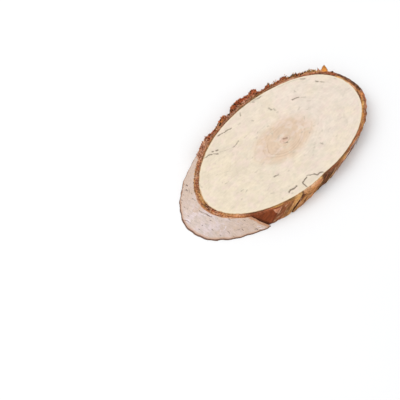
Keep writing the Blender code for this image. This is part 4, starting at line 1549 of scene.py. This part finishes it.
class BIRCH_OT_inner_bark(bpy.types.Operator):
    """Makes the red-brown inner bark in place of its solid"""

    bl_idname = "birch.inner_bark"
    bl_label = "Inner bark"

    def execute(self, context):
        scene = context.scene
        piece = make_inner_bark(Branch(scene.birch_branch), scene.birch_bark)
        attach(piece, BODY)
        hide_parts("inner_bark")
        return {"FINISHED"}


class BIRCH_OT_loose_fibre(bpy.types.Operator):
    """Makes the flakes, the torn shreds and the crumbs of bark"""

    bl_idname = "birch.loose_fibre"
    bl_label = "Loose fibre"

    def execute(self, context):
        branch = Branch(context.scene.birch_branch)
        finish = inner_bark_finish(branch, "torn fibre")
        for make in (make_near_flakes, make_torn_lip, make_far_shreds, make_rim_crumbs):
            piece = make(branch, finish)
            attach(piece, BODY)
        return {"FINISHED"}


class BIRCH_OT_white_bark(bpy.types.Operator):
    """Makes the sheet of white bark in place of its solid"""

    bl_idname = "birch.white_bark"
    bl_label = "White bark"

    def execute(self, context):
        scene = context.scene
        piece = make_white_bark(Branch(scene.birch_branch), scene.birch_bark)
        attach(piece, BODY)
        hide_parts("paper_bark")
        return {"FINISHED"}


FLOOR_SIZE = 3.0
LOOK_AT = (-0.0514, 0.0105, 0.0)
KEY_FROM = (-0.42, 0.62, 1.05)
KEY_SIZE = 1.1


class BIRCH_OT_stage(bpy.types.Operator):
    """Makes the pale floor, the soft lights and the camera"""

    bl_idname = "birch.stage"
    bl_label = "Stage"

    def execute(self, context):
        scene = context.scene
        looks = scene.birch_stage
        self.make_floor(scene, looks)
        self.make_lights(scene, looks)
        self.make_camera(scene, looks)
        scene.view_settings.view_transform = "Standard"
        return {"FINISHED"}

    def make_floor(self, scene, looks):
        """The plain pale floor."""
        sheet = bmesh.new()
        bmesh.ops.create_grid(sheet, x_segments=8, y_segments=8, size=FLOOR_SIZE / 2)
        mesh = bpy.data.meshes.new("floor")
        sheet.to_mesh(mesh)
        sheet.free()
        finish = Finish("pale floor", 0.9, 0.1)
        mottle = finish.noise(finish.place, (0.01, 0.01, 0.01), 2.0)
        light = finish.step(mottle, 0.3, 0.7, 0.995, 1.0)
        colour = finish.tint(tuple(looks.floor_colour), light)
        mesh.materials.append(finish.finish(colour, finish.bump(mottle, 0.01)))
        floor = bpy.data.objects.new("floor", mesh)
        floor.location.z = -0.1 * MM
        scene.collection.objects.link(floor)

    def make_lights(self, scene, looks):
        """Even light from all round, and one large soft light from the far side."""
        world = bpy.data.worlds.new("soft white")
        world.use_nodes = True
        sky = world.node_tree.nodes["Background"]
        sky.inputs["Color"].default_value = (1.0, 1.0, 1.0, 1.0)
        sky.inputs["Strength"].default_value = looks.sky_strength
        scene.world = world
        lamp = bpy.data.lights.new("key", "AREA")
        lamp.energy = looks.key_power
        lamp.size = KEY_SIZE
        lamp.color = (1.0, 0.985, 0.965)
        key = bpy.data.objects.new("key", lamp)
        key.location = KEY_FROM
        key.rotation_euler = (-Vector(KEY_FROM)).to_track_quat("-Z", "Y").to_euler()
        scene.collection.objects.link(key)

    def make_camera(self, scene, looks):
        """The camera, at the photograph's angle."""
        camera = bpy.data.objects.new("camera", bpy.data.cameras.new("camera"))
        camera.data.lens = looks.lens
        camera.data.sensor_width = 36.0
        level = looks.distance * math.cos(looks.elevation)
        back = Vector((level * math.sin(looks.turn), -level * math.cos(looks.turn),
                       looks.distance * math.sin(looks.elevation)))
        camera.location = Vector(LOOK_AT) + back
        camera.rotation_euler = (-back).to_track_quat("-Z", "Y").to_euler()
        scene.collection.objects.link(camera)
        scene.camera = camera


class BIRCH_PT_slice(bpy.types.Panel):
    """Lists the steps that dress the slice"""

    bl_idname = "BIRCH_PT_slice"
    bl_label = "Birch slice"
    bl_space_type = "VIEW_3D"
    bl_region_type = "UI"
    bl_category = "Birch slice"

    def draw(self, context):
        layout = self.layout
        for step in STEPS:
            layout.operator(step.bl_idname)
        scene = context.scene
        for group in (scene.birch_branch, scene.birch_wood, scene.birch_bark, scene.birch_stage):
            box = layout.box()
            for name in group.__annotations__:
                box.prop(group, name)


STEPS = (
    BIRCH_OT_wood,
    BIRCH_OT_inner_bark,
    BIRCH_OT_loose_fibre,
    BIRCH_OT_white_bark,
    BIRCH_OT_stage,
)
SETTINGS = {
    "birch_branch": BranchSizes,
    "birch_wood": WoodLooks,
    "birch_bark": BarkLooks,
    "birch_stage": StageLooks,
}


def register():
    """Adds the settings, the steps and the panel."""
    for name, group in SETTINGS.items():
        bpy.utils.register_class(group)
        setattr(bpy.types.Scene, name, bpy.props.PointerProperty(type=group))
    for shown in (*STEPS, BIRCH_PT_slice):
        bpy.utils.register_class(shown)


def unregister():
    """Takes them away again."""
    for shown in reversed((*STEPS, BIRCH_PT_slice)):
        bpy.utils.unregister_class(shown)
    for name, group in reversed(SETTINGS.items()):
        delattr(bpy.types.Scene, name)
        bpy.utils.unregister_class(group)


def main():
    """Dresses the slice one step after the other."""
    register()
    bpy.ops.birch.wood()
    bpy.ops.birch.inner_bark()
    bpy.ops.birch.loose_fibre()
    bpy.ops.birch.white_bark()
    bpy.ops.birch.stage()


if __name__ == "__main__":
    main()
